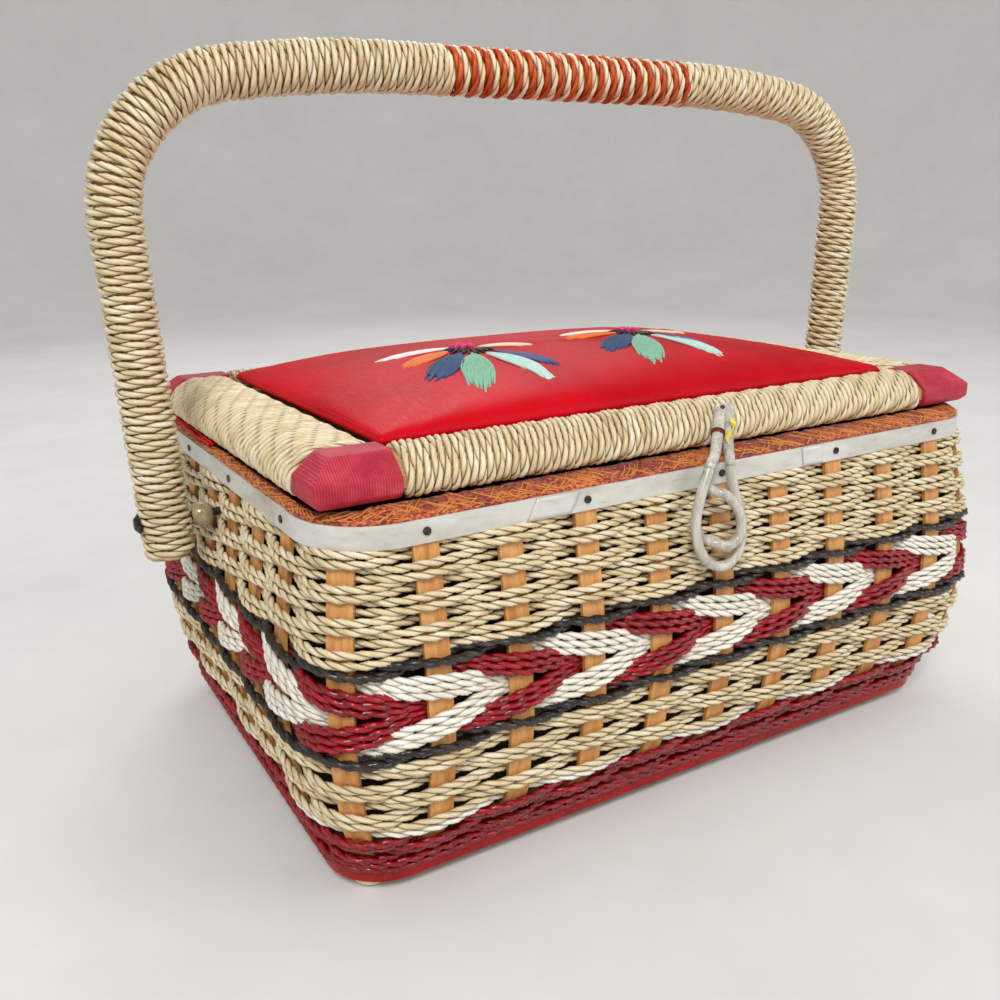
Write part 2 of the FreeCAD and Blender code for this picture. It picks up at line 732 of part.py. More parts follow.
# Latch: a vinyl loop hung from a tab on the lid, held by a catch on the wall
TUBE = size("latch_tube_radius")
CATCH = size("catch_tube_radius")
LOOP_LENGTH = size("latch_loop_length")
LOOP_TOP_Z = RIM_TOP + size("latch_flex_gap") + TUBE / 2
LOOP_FOOT_Z = LOOP_TOP_Z - LOOP_LENGTH
LATCH_SEAT = size("latch_wall_gap") + TUBE
LOOP_TOP_Y = -(HALF_DEPTH + size("nail_head_height") + LATCH_SEAT)
LOOP_FOOT_Y = -(HALF_DEPTH + wall_offsets(LOOP_FOOT_Z)[1] + LATCH_SEAT)
loop_top = V(0, LOOP_TOP_Y, LOOP_TOP_Z)
loop_foot = V(-size("latch_lean"), LOOP_FOOT_Y, LOOP_FOOT_Z)
down = loop_foot - loop_top
LOOP_RUN = down.Length
down.normalize()
across = X_AXIS - down * down.x
across.normalize()


def on_loop(along, aside):
    return loop_top + down * along + across * aside


def latch_loop():
    """Teardrop: two strands that open out round a half turn at the foot."""
    radius = size("latch_loop_radius")
    offset = size("latch_strand_offset")
    middle = LOOP_RUN - radius
    distance = math.hypot(middle, offset)
    heading = math.asin(radius / distance) - math.atan2(offset, middle)
    straight = math.sqrt(distance**2 - radius**2)
    along = straight * math.cos(heading)
    aside = offset + straight * math.sin(heading)
    gap = size("latch_flex_gap")
    start = on_loop(gap, -offset - gap * math.tan(heading))
    path = [
        Part.LineSegment(start, on_loop(along, -aside)),
        Part.Arc(on_loop(along, -aside), on_loop(LOOP_RUN, 0), on_loop(along, aside)),
        Part.LineSegment(on_loop(along, aside), on_loop(gap, offset + gap * math.tan(heading))),
    ]
    wire = Part.Wire([edge.toShape() for edge in path])
    return tube(wire, TUBE, start, on_loop(along, -aside) - start)


def rounded_run(points, radius):
    """Straight runs through the points, joined by tangent arcs."""
    edges = []
    last = points[0]
    for before, corner, after in zip(points, points[1:], points[2:]):
        into = corner - before
        into.normalize()
        out = after - corner
        out.normalize()
        half_turn = into.getAngle(out) / 2
        back = radius * math.tan(half_turn)
        bisector = out - into
        bisector.normalize()
        middle = corner + bisector * (radius / math.cos(half_turn) - radius)
        edges.append(Part.LineSegment(last, corner - into * back))
        edges.append(Part.Arc(corner - into * back, middle, corner + out * back))
        last = corner + out * back
    edges.append(Part.LineSegment(last, points[-1]))
    return Part.Wire([edge.toShape() for edge in edges])


def loop_y(z):
    share = (LOOP_TOP_Z - z) / (LOOP_TOP_Z - LOOP_FOOT_Z)
    return LOOP_TOP_Y + share * (LOOP_FOOT_Y - LOOP_TOP_Y)


CATCH_HIGH = RIM_BOTTOM - CATCH - size("catch_rim_gap")
CATCH_LOW = CATCH_HIGH - size("catch_height")


def loop_middle(z):
    return -size("latch_lean") * (LOOP_TOP_Z - z) / LOOP_LENGTH


def catch_points():
    bite = size("catch_bite")
    points = []
    for z, x in ((CATCH_HIGH, loop_middle(CATCH_HIGH)), (CATCH_LOW, loop_middle(CATCH_LOW) - GAP)):
        wall_y = -(HALF_DEPTH + wall_offsets(z)[1]) + bite
        front_y = loop_y(CATCH_LOW) - TUBE - CATCH - 2 * GAP
        ends = [V(x, wall_y, z), V(x, front_y, z), V(size("catch_reach"), front_y, z)]
        points += ends if z == CATCH_HIGH else ends[::-1]
    return points


CATCH_ROUTE = catch_points()
FORWARD = V(0, -1, 0)
catch = tube(rounded_run(CATCH_ROUTE, size("catch_bend_radius")), CATCH, CATCH_ROUTE[0], FORWARD)
catch_holes = [
    rod(end, FORWARD, CATCH + GAP, 4 * size("catch_bite")) for end in (CATCH_ROUTE[0], CATCH_ROUTE[-1])
]
shape_node("catch_loop", catch)
shape_node("latch_loop", latch_loop())

# Weave: one ring for each run of rows of one colour, slotted for the stakes
WEAVE = (
    ("red_rows", BASE_TOP, RED_TOP),
    ("white_row", RED_TOP, WHITE_TOP),
    ("lower_natural_rows", WHITE_TOP, LOWER_TOP),
    ("lower_dark_row", LOWER_TOP, DARK_LOW_TOP),
    ("chevron_band", DARK_LOW_TOP, CHEVRON_TOP),
    ("upper_dark_row", CHEVRON_TOP, DARK_HIGH_TOP),
    ("upper_natural_rows", DARK_HIGH_TOP, RIM_BOTTOM),
)
wall_holes = Part.makeCompound([pin_bore, mirrored(pin_bore)] + catch_holes)
for label, z0, z1 in WEAVE:
    ring = wall_ring(z0, z1, WEAVE_THICKNESS).cut(slots)
    if label == "upper_natural_rows":
        ring = ring.cut(wall_holes)
    shape_node(label, ring)


# Lining: a cloth tub that stands on the base board
def tub(inset, floor):
    foot_inset = WEAVE_THICKNESS + size("stake_end_gap") + inset
    side, front = BASE_OFFSETS
    foot_radius = corner_radius(side, front, foot_inset)
    half_x = HALF_LENGTH + side - foot_inset
    half_y = HALF_DEPTH + front - foot_inset
    wires = [rounded_outline(half_x, half_y, foot_radius, floor)]
    for z in (floor + size("lining_taper_height"), LINING_TOP):
        reach = LINING_OUTER + inset
        radius = size("rim_corner_radius") - reach
        wires.append(rounded_outline(HALF_LENGTH - reach, HALF_DEPTH - reach, radius, z))
    return Part.makeLoft(wires, True, True)


LINING = size("lining_thickness")
LINING_TOP = HINGE_Z - BARREL - size("lining_hinge_gap")
shape_node("basket_lining", tub(0, BASE_TOP + GAP).cut(tub(LINING, BASE_TOP + GAP + LINING)))

# Lid frame: bars of one section, cord-wrapped between taped corners
LID_X = HALF_LENGTH - size("lid_end_inset")
LID_Y = HALF_DEPTH - size("lid_front_inset")
COVER_X = LID_X - size("cover_length")
FRONT_WIDTH = size("front_bar_width")
SIDE_WIDTH = size("side_bar_width")
BEVEL = size("lid_bar_bevel")
BEVEL_FOOT = LID_TOP - size("lid_bevel_height")


def bar_section(width, inset):
    """Outline as distance in from the lid's edge, and height."""
    tuck = size("lid_bar_tuck")
    ease = inset / 2
    return [
        (tuck + ease, LID_BOTTOM + inset),
        (inset, LID_BOTTOM + tuck + ease),
        (inset, BEVEL_FOOT - ease),
        (BEVEL + ease, LID_TOP - inset),
        (width - inset, LID_TOP - inset),
        (width - inset, LID_BOTTOM + inset),
    ]


def long_bar(inset, x0, x1, sign):
    points = [V(x0, sign * (LID_Y - w), z) for w, z in bar_section(FRONT_WIDTH, inset)]
    return extruded(points, X_AXIS * (x1 - x0))


def cross_bar(inset, y0, y1, sign):
    points = [V(sign * (LID_X - w), y0, z) for w, z in bar_section(SIDE_WIDTH, inset)]
    return extruded(points, Y_AXIS * (y1 - y0))


CORE_X = LID_X - BEVEL - WRAP
SIDE_Y = LID_Y - FRONT_WIDTH - GAP
tack_place = V(
    -size("latch_strand_offset"),
    -(LID_Y - BEVEL * size("latch_tab_share") / 2),
    BEVEL_FOOT + size("lid_bevel_height") * size("latch_tab_share") / 2,
)
bevel_out = V(0, -size("lid_bevel_height"), BEVEL)
bevel_out.normalize()
TACK_BITE = 3 * WRAP
tack_foot = tack_place - bevel_out * TACK_BITE
tack_bore = rod(tack_foot, bevel_out, size("tack_radius") + GAP / 2, 3 * TACK_BITE)
for label, sign in (("front", -1), ("rear", 1)):
    bar = long_bar(WRAP + GAP, -CORE_X, CORE_X, sign).cut(tack_bore)
    hollow = long_bar(WRAP, -LID_X, LID_X, sign)
    shape_node(label + "_bar_core", bar)
    wrap = long_bar(0, -COVER_X, COVER_X, sign).cut(hollow).cut(tack_bore)
    shape_node(label + "_bar_wrap", wrap)
    for side, sign_x in (("left", -1), ("right", 1)):
        recess = size("cover_recess")
        block = long_bar(recess, sign_x * (COVER_X + GAP), sign_x * LID_X, sign)
        block = block.common(cross_bar(recess, -LID_Y, LID_Y, sign_x))
        pocket = long_bar(WRAP, sign_x * COVER_X, sign_x * (CORE_X + GAP), sign)
        shape_node(f"{label}_{side}_cover", block.cut(pocket))
for label, sign in (("left", -1), ("right", 1)):
    shape_node(label + "_bar_core", cross_bar(WRAP + GAP, -SIDE_Y, SIDE_Y, sign))
    wrap = cross_bar(0, -SIDE_Y, SIDE_Y, sign).cut(cross_bar(WRAP, -SIDE_Y, SIDE_Y, sign))
    shape_node(label + "_bar_wrap", wrap)

# Lid panel: board, lining below and crowned pad above
PANEL_X = "(dims.rim_half_length - dims.lid_end_inset - dims.side_bar_width)"
PANEL_Y = "(dims.rim_half_depth - dims.lid_front_inset - dims.front_bar_width)"
PANEL_R = "dims.panel_corner_radius"
panel_loop = loop_text(PANEL_X, PANEL_Y, PANEL_R, "dims.seat_gap")
node(slab("lid_board", panel_loop, None, LID_BOARD_TEXT, "dims.lid_board_thickness"), "lid_board")
node(
    slab(
        "lid_lining", panel_loop, None, LID_BOARD_TEXT + " - dims.lid_lining_thickness",
        "dims.lid_lining_thickness",
    ),
    "lid_lining",
)
PAD_FOOT = LID_BOTTOM + size("lid_board_rise") + size("lid_board_thickness")
PAD_EDGE = LID_TOP + size("pad_edge_rise")
PAD_SECTIONS = 7


def lid_pad():
    """Crowned cushion with its sides drawn in at the board and at the edge."""
    half_x = LID_X - SIDE_WIDTH - size("pad_gap")
    half_y = LID_Y - FRONT_WIDTH - size("pad_gap")
    corner = size("panel_corner_radius")
    drawn = size("pad_edge_rise")
    wires = [
        rounded_outline(half_x - drawn, half_y - drawn, corner, PAD_FOOT),
        rounded_outline(half_x, half_y, corner, (PAD_FOOT + PAD_EDGE) / 2),
        rounded_outline(half_x - drawn, half_y - drawn, corner, PAD_EDGE),
    ]
    for index in range(1, PAD_SECTIONS + 1):
        turn = index * math.pi / 2 / (PAD_SECTIONS + 1)
        draw = drawn + (half_y - 2 * corner) * (1 - math.cos(turn))
        z = PAD_EDGE + size("pad_crown") * math.sin(turn)
        wires.append(rounded_outline(half_x - draw, half_y - draw, corner, z))
    return Part.makeLoft(wires, True, True)


shape_node("lid_pad", lid_pad())


# Latch tab: the loop's two ends, laid on the lid's bevel and tacked there
def latch_tab():
    half = size("latch_strand_offset") + TUBE
    bevel_foot = V(-half, -LID_Y, BEVEL_FOOT) + bevel_out * GAP
    up_bevel = V(0, BEVEL, size("lid_bevel_height")) * size("latch_tab_share")
    to_loop = loop_top - V(0, bevel_foot.y, bevel_foot.z) - bevel_out * TUBE
    to_loop.normalize()
    outward = V(0, to_loop.z, -to_loop.y)
    end = V(-half, LOOP_TOP_Y, LOOP_TOP_Z) - to_loop * size("latch_flex_gap")
    thick = bevel_out * (2 * TUBE)
    outline = [bevel_foot + up_bevel, bevel_foot, end - outward * TUBE, end + outward * TUBE]
    outline += [bevel_foot + thick, bevel_foot + up_bevel + thick]
    return extruded(outline, X_AXIS * (2 * half))


shape_node("latch_tab", latch_tab().cut(tack_bore))
tack_top = tack_place + bevel_out * (2 * TUBE + 2 * GAP)
tack_length = TACK_BITE + 2 * TUBE + GAP
tack = rod(tack_foot + bevel_out * GAP, bevel_out, size("tack_radius"), tack_length)
tack = tack.fuse(rod(tack_top, bevel_out, size("tack_head_radius"), size("nail_head_height")))
shape_node("latch_tack", tack)

# Hinges: two butt hinges between the hoop and the underside of the rear bar
LEAF = size("hinge_leaf_thickness")
LEAF_RUN = size("hinge_leaf_height")
HINGE_Y = HALF_DEPTH - HOOP_INNER - GAP - BARREL
KNUCKLE = size("hinge_width") / 3
KNUCKLE_GAP = size("knuckle_gap")


def barrel(x0, x1, radius):
    return rod(V(x0, HINGE_Y, HINGE_Z), X_AXIS, radius, x1 - x0)


def hinge(x):
    """Rim leaf, lid leaf and pin of one hinge centred at x."""
    start = x - 1.5 * KNUCKLE
    thirds = [start + KNUCKLE * index for index in range(4)]
    low = V(start, HINGE_Y + BARREL - LEAF, HINGE_Z - LEAF_RUN)
    rim_leaf = Part.makeBox(3 * KNUCKLE, LEAF, LEAF_RUN, low)
    rim_leaf = rim_leaf.cut(barrel(thirds[1], thirds[2], BARREL + KNUCKLE_GAP))
    rim_leaf = rim_leaf.fuse(barrel(thirds[0], thirds[1], BARREL))
    rim_leaf = rim_leaf.fuse(barrel(thirds[2], thirds[3], BARREL))
    corner = V(start, HINGE_Y - LEAF_RUN, HINGE_Z + BARREL - LEAF)
    lid_leaf = Part.makeBox(3 * KNUCKLE, LEAF_RUN, LEAF, corner)
    lid_leaf = lid_leaf.cut(barrel(thirds[0], thirds[1] + KNUCKLE_GAP, BARREL + KNUCKLE_GAP))
    lid_leaf = lid_leaf.cut(barrel(thirds[2] - KNUCKLE_GAP, thirds[3], BARREL + KNUCKLE_GAP))
    middle = (thirds[1] + KNUCKLE_GAP, thirds[2] - KNUCKLE_GAP)
    lid_leaf = lid_leaf.fuse(barrel(*middle, BARREL))
    bore = barrel(thirds[0], thirds[3], size("hinge_pin_radius") + size("running_clearance"))
    pin = barrel(thirds[0], thirds[3], size("hinge_pin_radius"))
    return rim_leaf.cut(bore), lid_leaf.cut(bore), pin


hinges = [hinge(sign * size("hinge_spacing") / 2) for sign in (-1, 1)]
for label, group in zip(("hinge_rim_leaves", "hinge_lid_leaves", "hinge_pins"), zip(*hinges)):
    shape_node(label, Part.makeCompound(list(group)))

# Check every object, then write one file for each piece
doc.recompute()
for obj in doc.Objects:
    if "Invalid" in obj.State or "Error" in obj.State:
        raise RuntimeError(f"{obj.Label} failed: {obj.State}")
for obj in nodes:
    if obj.Shape.isNull() or not obj.Shape.isValid() or obj.Shape.Volume <= 0:
        raise RuntimeError(f"{obj.Label} has no valid shape")
for obj in nodes:
    obj.Shape.exportStep(f"parts/{obj.Label}.step")
print(len(nodes), "pieces written")
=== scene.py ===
import json
import math

import bpy
import numpy as np
from mathutils import Matrix, Vector
from mathutils.bvhtree import BVHTree


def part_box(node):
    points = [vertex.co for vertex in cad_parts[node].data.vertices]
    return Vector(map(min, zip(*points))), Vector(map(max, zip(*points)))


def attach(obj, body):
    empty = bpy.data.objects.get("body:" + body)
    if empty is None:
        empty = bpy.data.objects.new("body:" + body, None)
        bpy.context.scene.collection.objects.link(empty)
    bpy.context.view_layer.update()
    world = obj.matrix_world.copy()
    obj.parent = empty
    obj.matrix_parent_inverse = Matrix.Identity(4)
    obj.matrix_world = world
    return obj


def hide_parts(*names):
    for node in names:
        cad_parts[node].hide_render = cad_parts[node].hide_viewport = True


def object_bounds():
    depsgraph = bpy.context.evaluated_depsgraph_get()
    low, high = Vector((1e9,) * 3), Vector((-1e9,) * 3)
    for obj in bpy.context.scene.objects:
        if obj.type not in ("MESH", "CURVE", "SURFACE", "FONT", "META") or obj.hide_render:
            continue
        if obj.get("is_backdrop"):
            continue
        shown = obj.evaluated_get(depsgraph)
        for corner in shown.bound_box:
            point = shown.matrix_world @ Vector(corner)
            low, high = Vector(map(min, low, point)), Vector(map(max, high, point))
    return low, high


# Wicker sewing box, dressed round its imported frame. Paths are in millimetres,
# X along the front, -Y towards the front, Z up; meshes are written in metres.
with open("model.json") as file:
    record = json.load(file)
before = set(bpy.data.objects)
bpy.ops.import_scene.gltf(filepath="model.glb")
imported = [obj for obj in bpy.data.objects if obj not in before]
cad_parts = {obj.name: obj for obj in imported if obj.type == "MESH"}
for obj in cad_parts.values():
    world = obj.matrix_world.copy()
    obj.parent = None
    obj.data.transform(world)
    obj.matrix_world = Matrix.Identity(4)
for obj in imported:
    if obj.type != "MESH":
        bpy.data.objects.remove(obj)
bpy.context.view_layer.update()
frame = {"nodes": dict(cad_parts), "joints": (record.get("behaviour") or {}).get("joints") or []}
MM = 0.001
UP = (0.0, 0.0, 1.0)
nodes = frame["nodes"]
joints = {joint["name"]: joint for joint in frame["joints"]}


# Sizes read from the frame
def node_box(node):
    low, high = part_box(node)
    return np.array(low) / MM, np.array(high) / MM


def half_sizes(node):
    """Half length, half depth, bottom and top of a node that is centred on the box."""
    low, high = node_box(node)
    return (high[0] - low[0]) / 2, (high[1] - low[1]) / 2, low[2], high[2]


RIM_X, RIM_Y, RIM_BOTTOM, RIM_TOP = half_sizes("rim_band")
RIM_RADIUS = 26.0
RIM_BULGE = 1.6
STAKE_INSET = 3.5
STAKE_HALF = 0.8
CORD = 1.5


def wall_profile():
    """Heights and half sizes of the wall's outer face, from the base to the rim."""
    base_x, base_y, base_low, base_top = half_sizes("base_band")
    levels = [(base_low, base_x, base_y), (base_top, base_x, base_y)]
    for node in ("red_rows", "white_row", "lower_natural_rows", "lower_dark_row"):
        half_x, half_y, _, top = half_sizes(node)
        levels.append((top, half_x, half_y))
    for node in ("upper_dark_row", "upper_natural_rows"):
        half_x, half_y, bottom, _ = half_sizes(node)
        levels.append((bottom, half_x, half_y))
    for z in (RIM_BOTTOM, RIM_TOP):
        levels.append((z, RIM_X + RIM_BULGE, RIM_Y + RIM_BULGE))
    return np.array(levels)


WALL = wall_profile()

# Stakes in order round the box, from the middle of the front towards +X
FRONT_COUNT, SIDE_COUNT = 9, 6
FRONT_END_GAP, SIDE_END_GAP = 32.8, 36.25
FRONT_REACH = RIM_X - FRONT_END_GAP
SIDE_REACH = RIM_Y - SIDE_END_GAP


def stake_terms():
    """Each stake's place along the wall, as shares of straights and quarter arcs."""
    front = np.linspace(0, FRONT_REACH, FRONT_COUNT // 2 + 1)
    rear = np.linspace(FRONT_REACH, -FRONT_REACH, FRONT_COUNT)
    side = np.linspace(-SIDE_REACH, SIDE_REACH, SIDE_COUNT)
    terms = [(0, 0, 0, x) for x in front]
    terms.append((1, 0, 0.5, 0))
    terms += [(1, 1, 1, y) for y in side]
    terms.append((1, 2, 1.5, 0))
    terms += [(2, 2, 2, -x) for x in rear]
    terms.append((3, 2, 2.5, 0))
    terms += [(3, 3, 3, y) for y in side]
    terms.append((3, 4, 3.5, 0))
    terms += [(4, 4, 4, -x) for x in front[:0:-1]]
    terms.append((4, 4, 4, 0))
    return np.array(terms)


STAKES = stake_terms()
STAKE_COUNT = len(STAKES) - 1
REAR_MIDDLE = STAKE_COUNT // 2


def round_box(s, a, b, radius, reach):
    """Points and normals at length s round a rounded box, from the middle of its front."""
    quarter = radius * math.pi / 2
    runs = np.array([a, quarter, 2 * b, quarter, 2 * a, quarter, 2 * b, quarter, a])
    ends = np.cumsum(runs, axis=0)
    part = np.clip((s[None, :] >= ends).sum(0), 0, 8)
    along = s - np.take_along_axis(ends - runs, part[None, :], 0)[0]
    turn = np.where(part % 2 == 1, along / radius, 0)
    heading = (part // 2) * (math.pi / 2) + turn
    out = np.stack([np.sin(heading), -np.cos(heading), np.zeros_like(heading)], axis=-1)
    x = np.array([1, 1, 1, 1, -1, -1, -1, -1, 1])[part] * a
    y = np.array([-1, -1, 1, 1, 1, 1, -1, -1, -1])[part] * b
    x = np.select([part == 0, part == 4, part == 8], [along, a - along, along - a], x)
    y = np.select([part == 2, part == 6], [along - b, b - along], y)
    return x + reach * out[:, 0], y + reach * out[:, 1], out


def wall_point(turn, z, depth):
    """Points and outward normals at stake number turn, depth out from the stakes."""
    half_x = np.interp(z, WALL[:, 0], WALL[:, 1])
    half_y = np.interp(z, WALL[:, 0], WALL[:, 2])
    radius = RIM_RADIUS + np.minimum(half_x - RIM_X, half_y - RIM_Y) / 2
    a, b = half_x - radius, half_y - radius
    whole = np.floor(turn)
    index = whole.astype(int) % STAKE_COUNT
    lengths = np.stack([a, b, radius * math.pi / 2, np.ones_like(a)], axis=-1)
    before = (STAKES[index] * lengths).sum(-1)
    after = (STAKES[index + 1] * lengths).sum(-1)
    s = before + (turn - whole) * (after - before)
    x, y, out = round_box(s, a, b, radius, radius - STAKE_INSET + depth)
    return np.stack([x, y, z], axis=-1), out


def box_loop(count, a, b, radius, reach):
    """Evenly spaced points round a rounded box; reach is one value or one for each point."""
    s = np.linspace(0, 4 * (a + b) + 2 * math.pi * radius, count, endpoint=False)
    full = np.ones(count)
    return round_box(s, a * full, b * full, radius * full, reach * full)


def rim_loop(count, inset):
    """Points round the rim, inset by one value or one for each point."""
    return box_loop(count, RIM_X - RIM_RADIUS, RIM_Y - RIM_RADIUS, RIM_RADIUS, RIM_RADIUS - inset)


# Mesh building
def add_object(name, data):
    made = bpy.data.objects.new(name, data)
    bpy.context.scene.collection.objects.link(made)
    return made


def piece(name, body, slot, material, verts, faces, caps=(), fibre=None):
    """A new smooth object from points in millimetres; faces is an array of quads."""
    mesh = bpy.data.meshes.new(name)
    loops = [np.asarray(faces).ravel()] + [np.asarray(cap) for cap in caps]
    totals = [4] * len(faces) + [len(cap) for cap in caps]
    starts = np.concatenate([[0], np.cumsum(totals)[:-1]])
    mesh.vertices.add(len(verts))
    mesh.vertices.foreach_set("co", (np.asarray(verts) * MM).ravel())
    corners = np.concatenate(loops).astype(np.int32)
    mesh.loops.add(len(corners))
    mesh.loops.foreach_set("vertex_index", corners)
    mesh.polygons.add(len(totals))
    mesh.polygons.foreach_set("loop_start", starts.astype(np.int32))
    mesh.polygons.foreach_set("use_smooth", np.full(len(totals), True))
    if fibre is not None:
        layer = mesh.attributes.new("fibre", "FLOAT_VECTOR", "POINT")
        layer.data.foreach_set("vector", np.asarray(fibre).ravel())
    mesh.update(calc_edges=True)
    mesh.validate()
    return dress(add_object(name, mesh), body, material)


def dress(obj, body, material):
    """Material and body of a piece."""
    obj.data.materials.clear()
    obj.data.materials.append(material)
    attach(obj, body)
    return obj


def grid_faces(rows, columns, closed=False, start=0):
    """Quads of a grid of points; closed joins the last column to the first."""
    spans = columns if closed else columns - 1
    row = np.arange(rows - 1)[:, None] * columns + start
    here = row + np.arange(spans)[None, :]
    there = row + (np.arange(spans)[None, :] + 1) % columns
    return np.stack([here, there, there + columns, here + columns], axis=-1).reshape(-1, 4)


def unit(vectors):
    return vectors / np.linalg.norm(vectors, axis=-1, keepdims=True)


def run_lengths(points):
    """Length along a line of points, up to each of them."""
    return np.concatenate([[0], np.cumsum(np.linalg.norm(np.diff(points, axis=0), axis=1))])


def sampled(at, s, values):
    """Rows of values, which lie at lengths s, read at lengths at."""
    return np.stack([np.interp(at, s, column) for column in values.T], axis=1)


def evenly(points, normals, step):
    """The same line at even steps."""
    s = run_lengths(points)
    count = max(int(round(s[-1] / step)), 2)
    at = np.linspace(0, s[-1], count + 1)
    return sampled(at, s, points), sampled(at, s, normals), at


def smooth_line(points, steps=10):
    """A curve that passes smoothly through the points."""
    knots = np.asarray(points, float)
    padded = np.concatenate([[2 * knots[0] - knots[1]], knots, [2 * knots[-1] - knots[-2]]])
    share = np.linspace(0, 1, steps, endpoint=False)[:, None]
    line = []
    for a, b, c, d in zip(padded, padded[1:], padded[2:], padded[3:]):
        bend = (2 * a - 5 * b + 4 * c - d) * share**2 + (3 * b - a - 3 * c + d) * share**3
        line.append(b + ((c - a) * share + bend) / 2)
    return np.concatenate(line + [knots[-1:]])


def thicken(obj, thickness, offset=0.0):
    sheet = obj.modifiers.new("thickness", "SOLIDIFY")
    sheet.thickness = thickness * MM
    sheet.offset = offset
    return obj


# Two-ply cord: the section of two overlapping round plies, turned along its line
SECTION = np.radians([0, 45, 80, 100, 135, 180, 225, 260, 280, 315])
PLY_OFFSET = 0.6
PLY_SHARE = 1 / (1 + PLY_OFFSET)
LAY = 12.5
STEP = 1.0
TONE_SPREAD = 900.0
ROUND = np.radians(np.arange(0, 360, 36))
FINE_ROUND = np.radians(np.arange(0, 360, 22.5))
THREAD_ROUND = np.radians(np.arange(0, 360, 60))


class Strands:
    """Collects cords, tubes and threads into one mesh."""

    def __init__(self, seed):
        self.random = np.random.default_rng(seed)
        self.verts, self.faces, self.caps, self.fibre = [], [], [], []
        self.count = 0

    def tube(self, points, normals, angles, radii, turn, at):
        """Sweeps a section of polar radii, turned by turn at each point."""
        tangents = unit(np.gradient(points, axis=0))
        out = unit(normals - (normals * tangents).sum(-1, keepdims=True) * tangents)
        side = np.cross(tangents, out)
        around = np.reshape(turn, (-1, 1)) + angles[None, :]
        ring = np.cos(around)[..., None] * out[:, None] + np.sin(around)[..., None] * side[:, None]
        verts = points[:, None] + np.broadcast_to(radii, around.shape)[..., None] * ring
        rings, sides = around.shape
        fibre = np.zeros(verts.shape)
        fibre[..., 0] = at[:, None] + self.random.uniform(0, TONE_SPREAD)
        fibre[..., 1], fibre[..., 2] = np.sin(angles), np.cos(angles)
        self.verts.append(verts.reshape(-1, 3))
        self.faces.append(grid_faces(rings, sides, True, self.count))
        self.fibre.append(fibre.reshape(-1, 3))
        last = self.count + (rings - 1) * sides
        self.caps.append(np.arange(self.count, self.count + sides)[::-1])
        self.caps.append(np.arange(last, last + sides))
        self.count += rings * sides

    def cord(self, points, normals, radius=CORD, lay=LAY, step=STEP):
        """A two-ply twisted cord along the points."""
        line, out, at = evenly(points, normals, step)
        ply = radius * PLY_SHARE
        offset = PLY_OFFSET * ply
        radii = offset * np.abs(np.cos(SECTION))
        radii = radii + np.sqrt(ply**2 - (offset * np.sin(SECTION)) ** 2)
        turn = 2 * math.pi * at / lay + self.random.uniform(0, 2 * math.pi)
        self.tube(line, out, SECTION, radii, turn, at)

    def plain(self, points, normals, radius, angles=ROUND, step=STEP):
        """A round tube; radius is one value or one for each end."""
        line, out, at = evenly(points, np.broadcast_to(normals, np.shape(points)), step)
        ends = np.linspace(*np.broadcast_to(radius, 2), len(line))[:, None]
        self.tube(line, out, angles, ends * np.ones(len(angles)), np.zeros(len(line)), at)

    def make(self, name, body, slot, material, *replaced):
        """One piece of all that was collected, in place of any nodes it replaces."""
        verts, faces, fibre = map(np.concatenate, (self.verts, self.faces, self.fibre))
        made = piece(name, body, slot, material, verts, faces, self.caps, fibre)
        if replaced:
            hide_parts(*replaced)
        return made

    def make_cord(self, name, body, colour, *replaced):
        return self.make(name, body, f"{colour}_cord", CORDS[colour], *replaced)


def wander(random, turn, reach, waves=5):
    """Slow seeded drift along a closed row."""
    drift = np.zeros_like(turn)
    for wave in range(1, waves + 1):
        phase = random.uniform(0, 2 * math.pi)
        drift += np.sin(2 * math.pi * wave * 2 * turn / STAKE_COUNT + phase) / wave
    return reach * drift / 2


def ripples(random, share, counts):
    """Mean of sine ripples, so many of each round a loop, with seeded phases."""
    return sum(np.sin(2 * math.pi * n * share + random.uniform(0, 6.3)) for n in counts) / len(counts)


# Materials
def srgb(code):
    """Linear colour from a six-digit screen code."""
    channels = [int(code[at : at + 2], 16) / 255 for at in (0, 2, 4)]
    linear = [c / 12.92 if c <= 0.04045 else ((c + 0.055) / 1.055) ** 2.4 for c in channels]
    return (*linear, 1.0)


def put(tree, kind, inputs=None, **settings):
    made = tree.nodes.new("ShaderNode" + kind)
    for key, value in settings.items():
        setattr(made, key, value)
    for key, value in (inputs or {}).items():
        if isinstance(value, bpy.types.NodeSocket):
            tree.links.new(value, made.inputs[key])
        else:
            made.inputs[key].default_value = value
    return made


def start(name, **sockets):
    material = bpy.data.materials.new(name)
    material.use_nodes = True
    tree = material.node_tree
    shader = tree.nodes["Principled BSDF"]
    for key, value in sockets.items():
        shader.inputs[key.replace("_", " ")].default_value = value
    return material, tree, shader


def ramp(tree, factor, *stops):
    made = put(tree, "ValToRGB", {"Fac": factor})
    elements = made.color_ramp.elements
    while len(elements) < len(stops):
        elements.new(0.5)
    for element, (spot, code) in zip(elements, stops):
        element.position = spot
        element.color = srgb(code)
    return made.outputs["Color"]


def scaled(tree, vector, scale):
    return put(tree, "VectorMath", {0: vector, 1: scale}, operation="MULTIPLY").outputs["Vector"]


def noise(tree, vector, scale, detail, rough):
    inputs = {"Vector": vector, "Scale": scale, "Detail": detail, "Roughness": rough}
    return put(tree, "TexNoise", inputs).outputs["Fac"]


def streaks(tree, vector, scales, detail, rough):
    """Noise drawn out by its scales along three axes."""
    return noise(tree, scaled(tree, vector, scales), 1.0, detail, rough)


def waves(tree, vector, period, axis, distortion=0.6):
    """Even ribs across one axis; period in millimetres."""
    inputs = {"Vector": vector, "Scale": math.pi / (10 * period * MM), "Distortion": distortion}
    return put(tree, "TexWave", inputs, bands_direction=axis).outputs["Fac"]


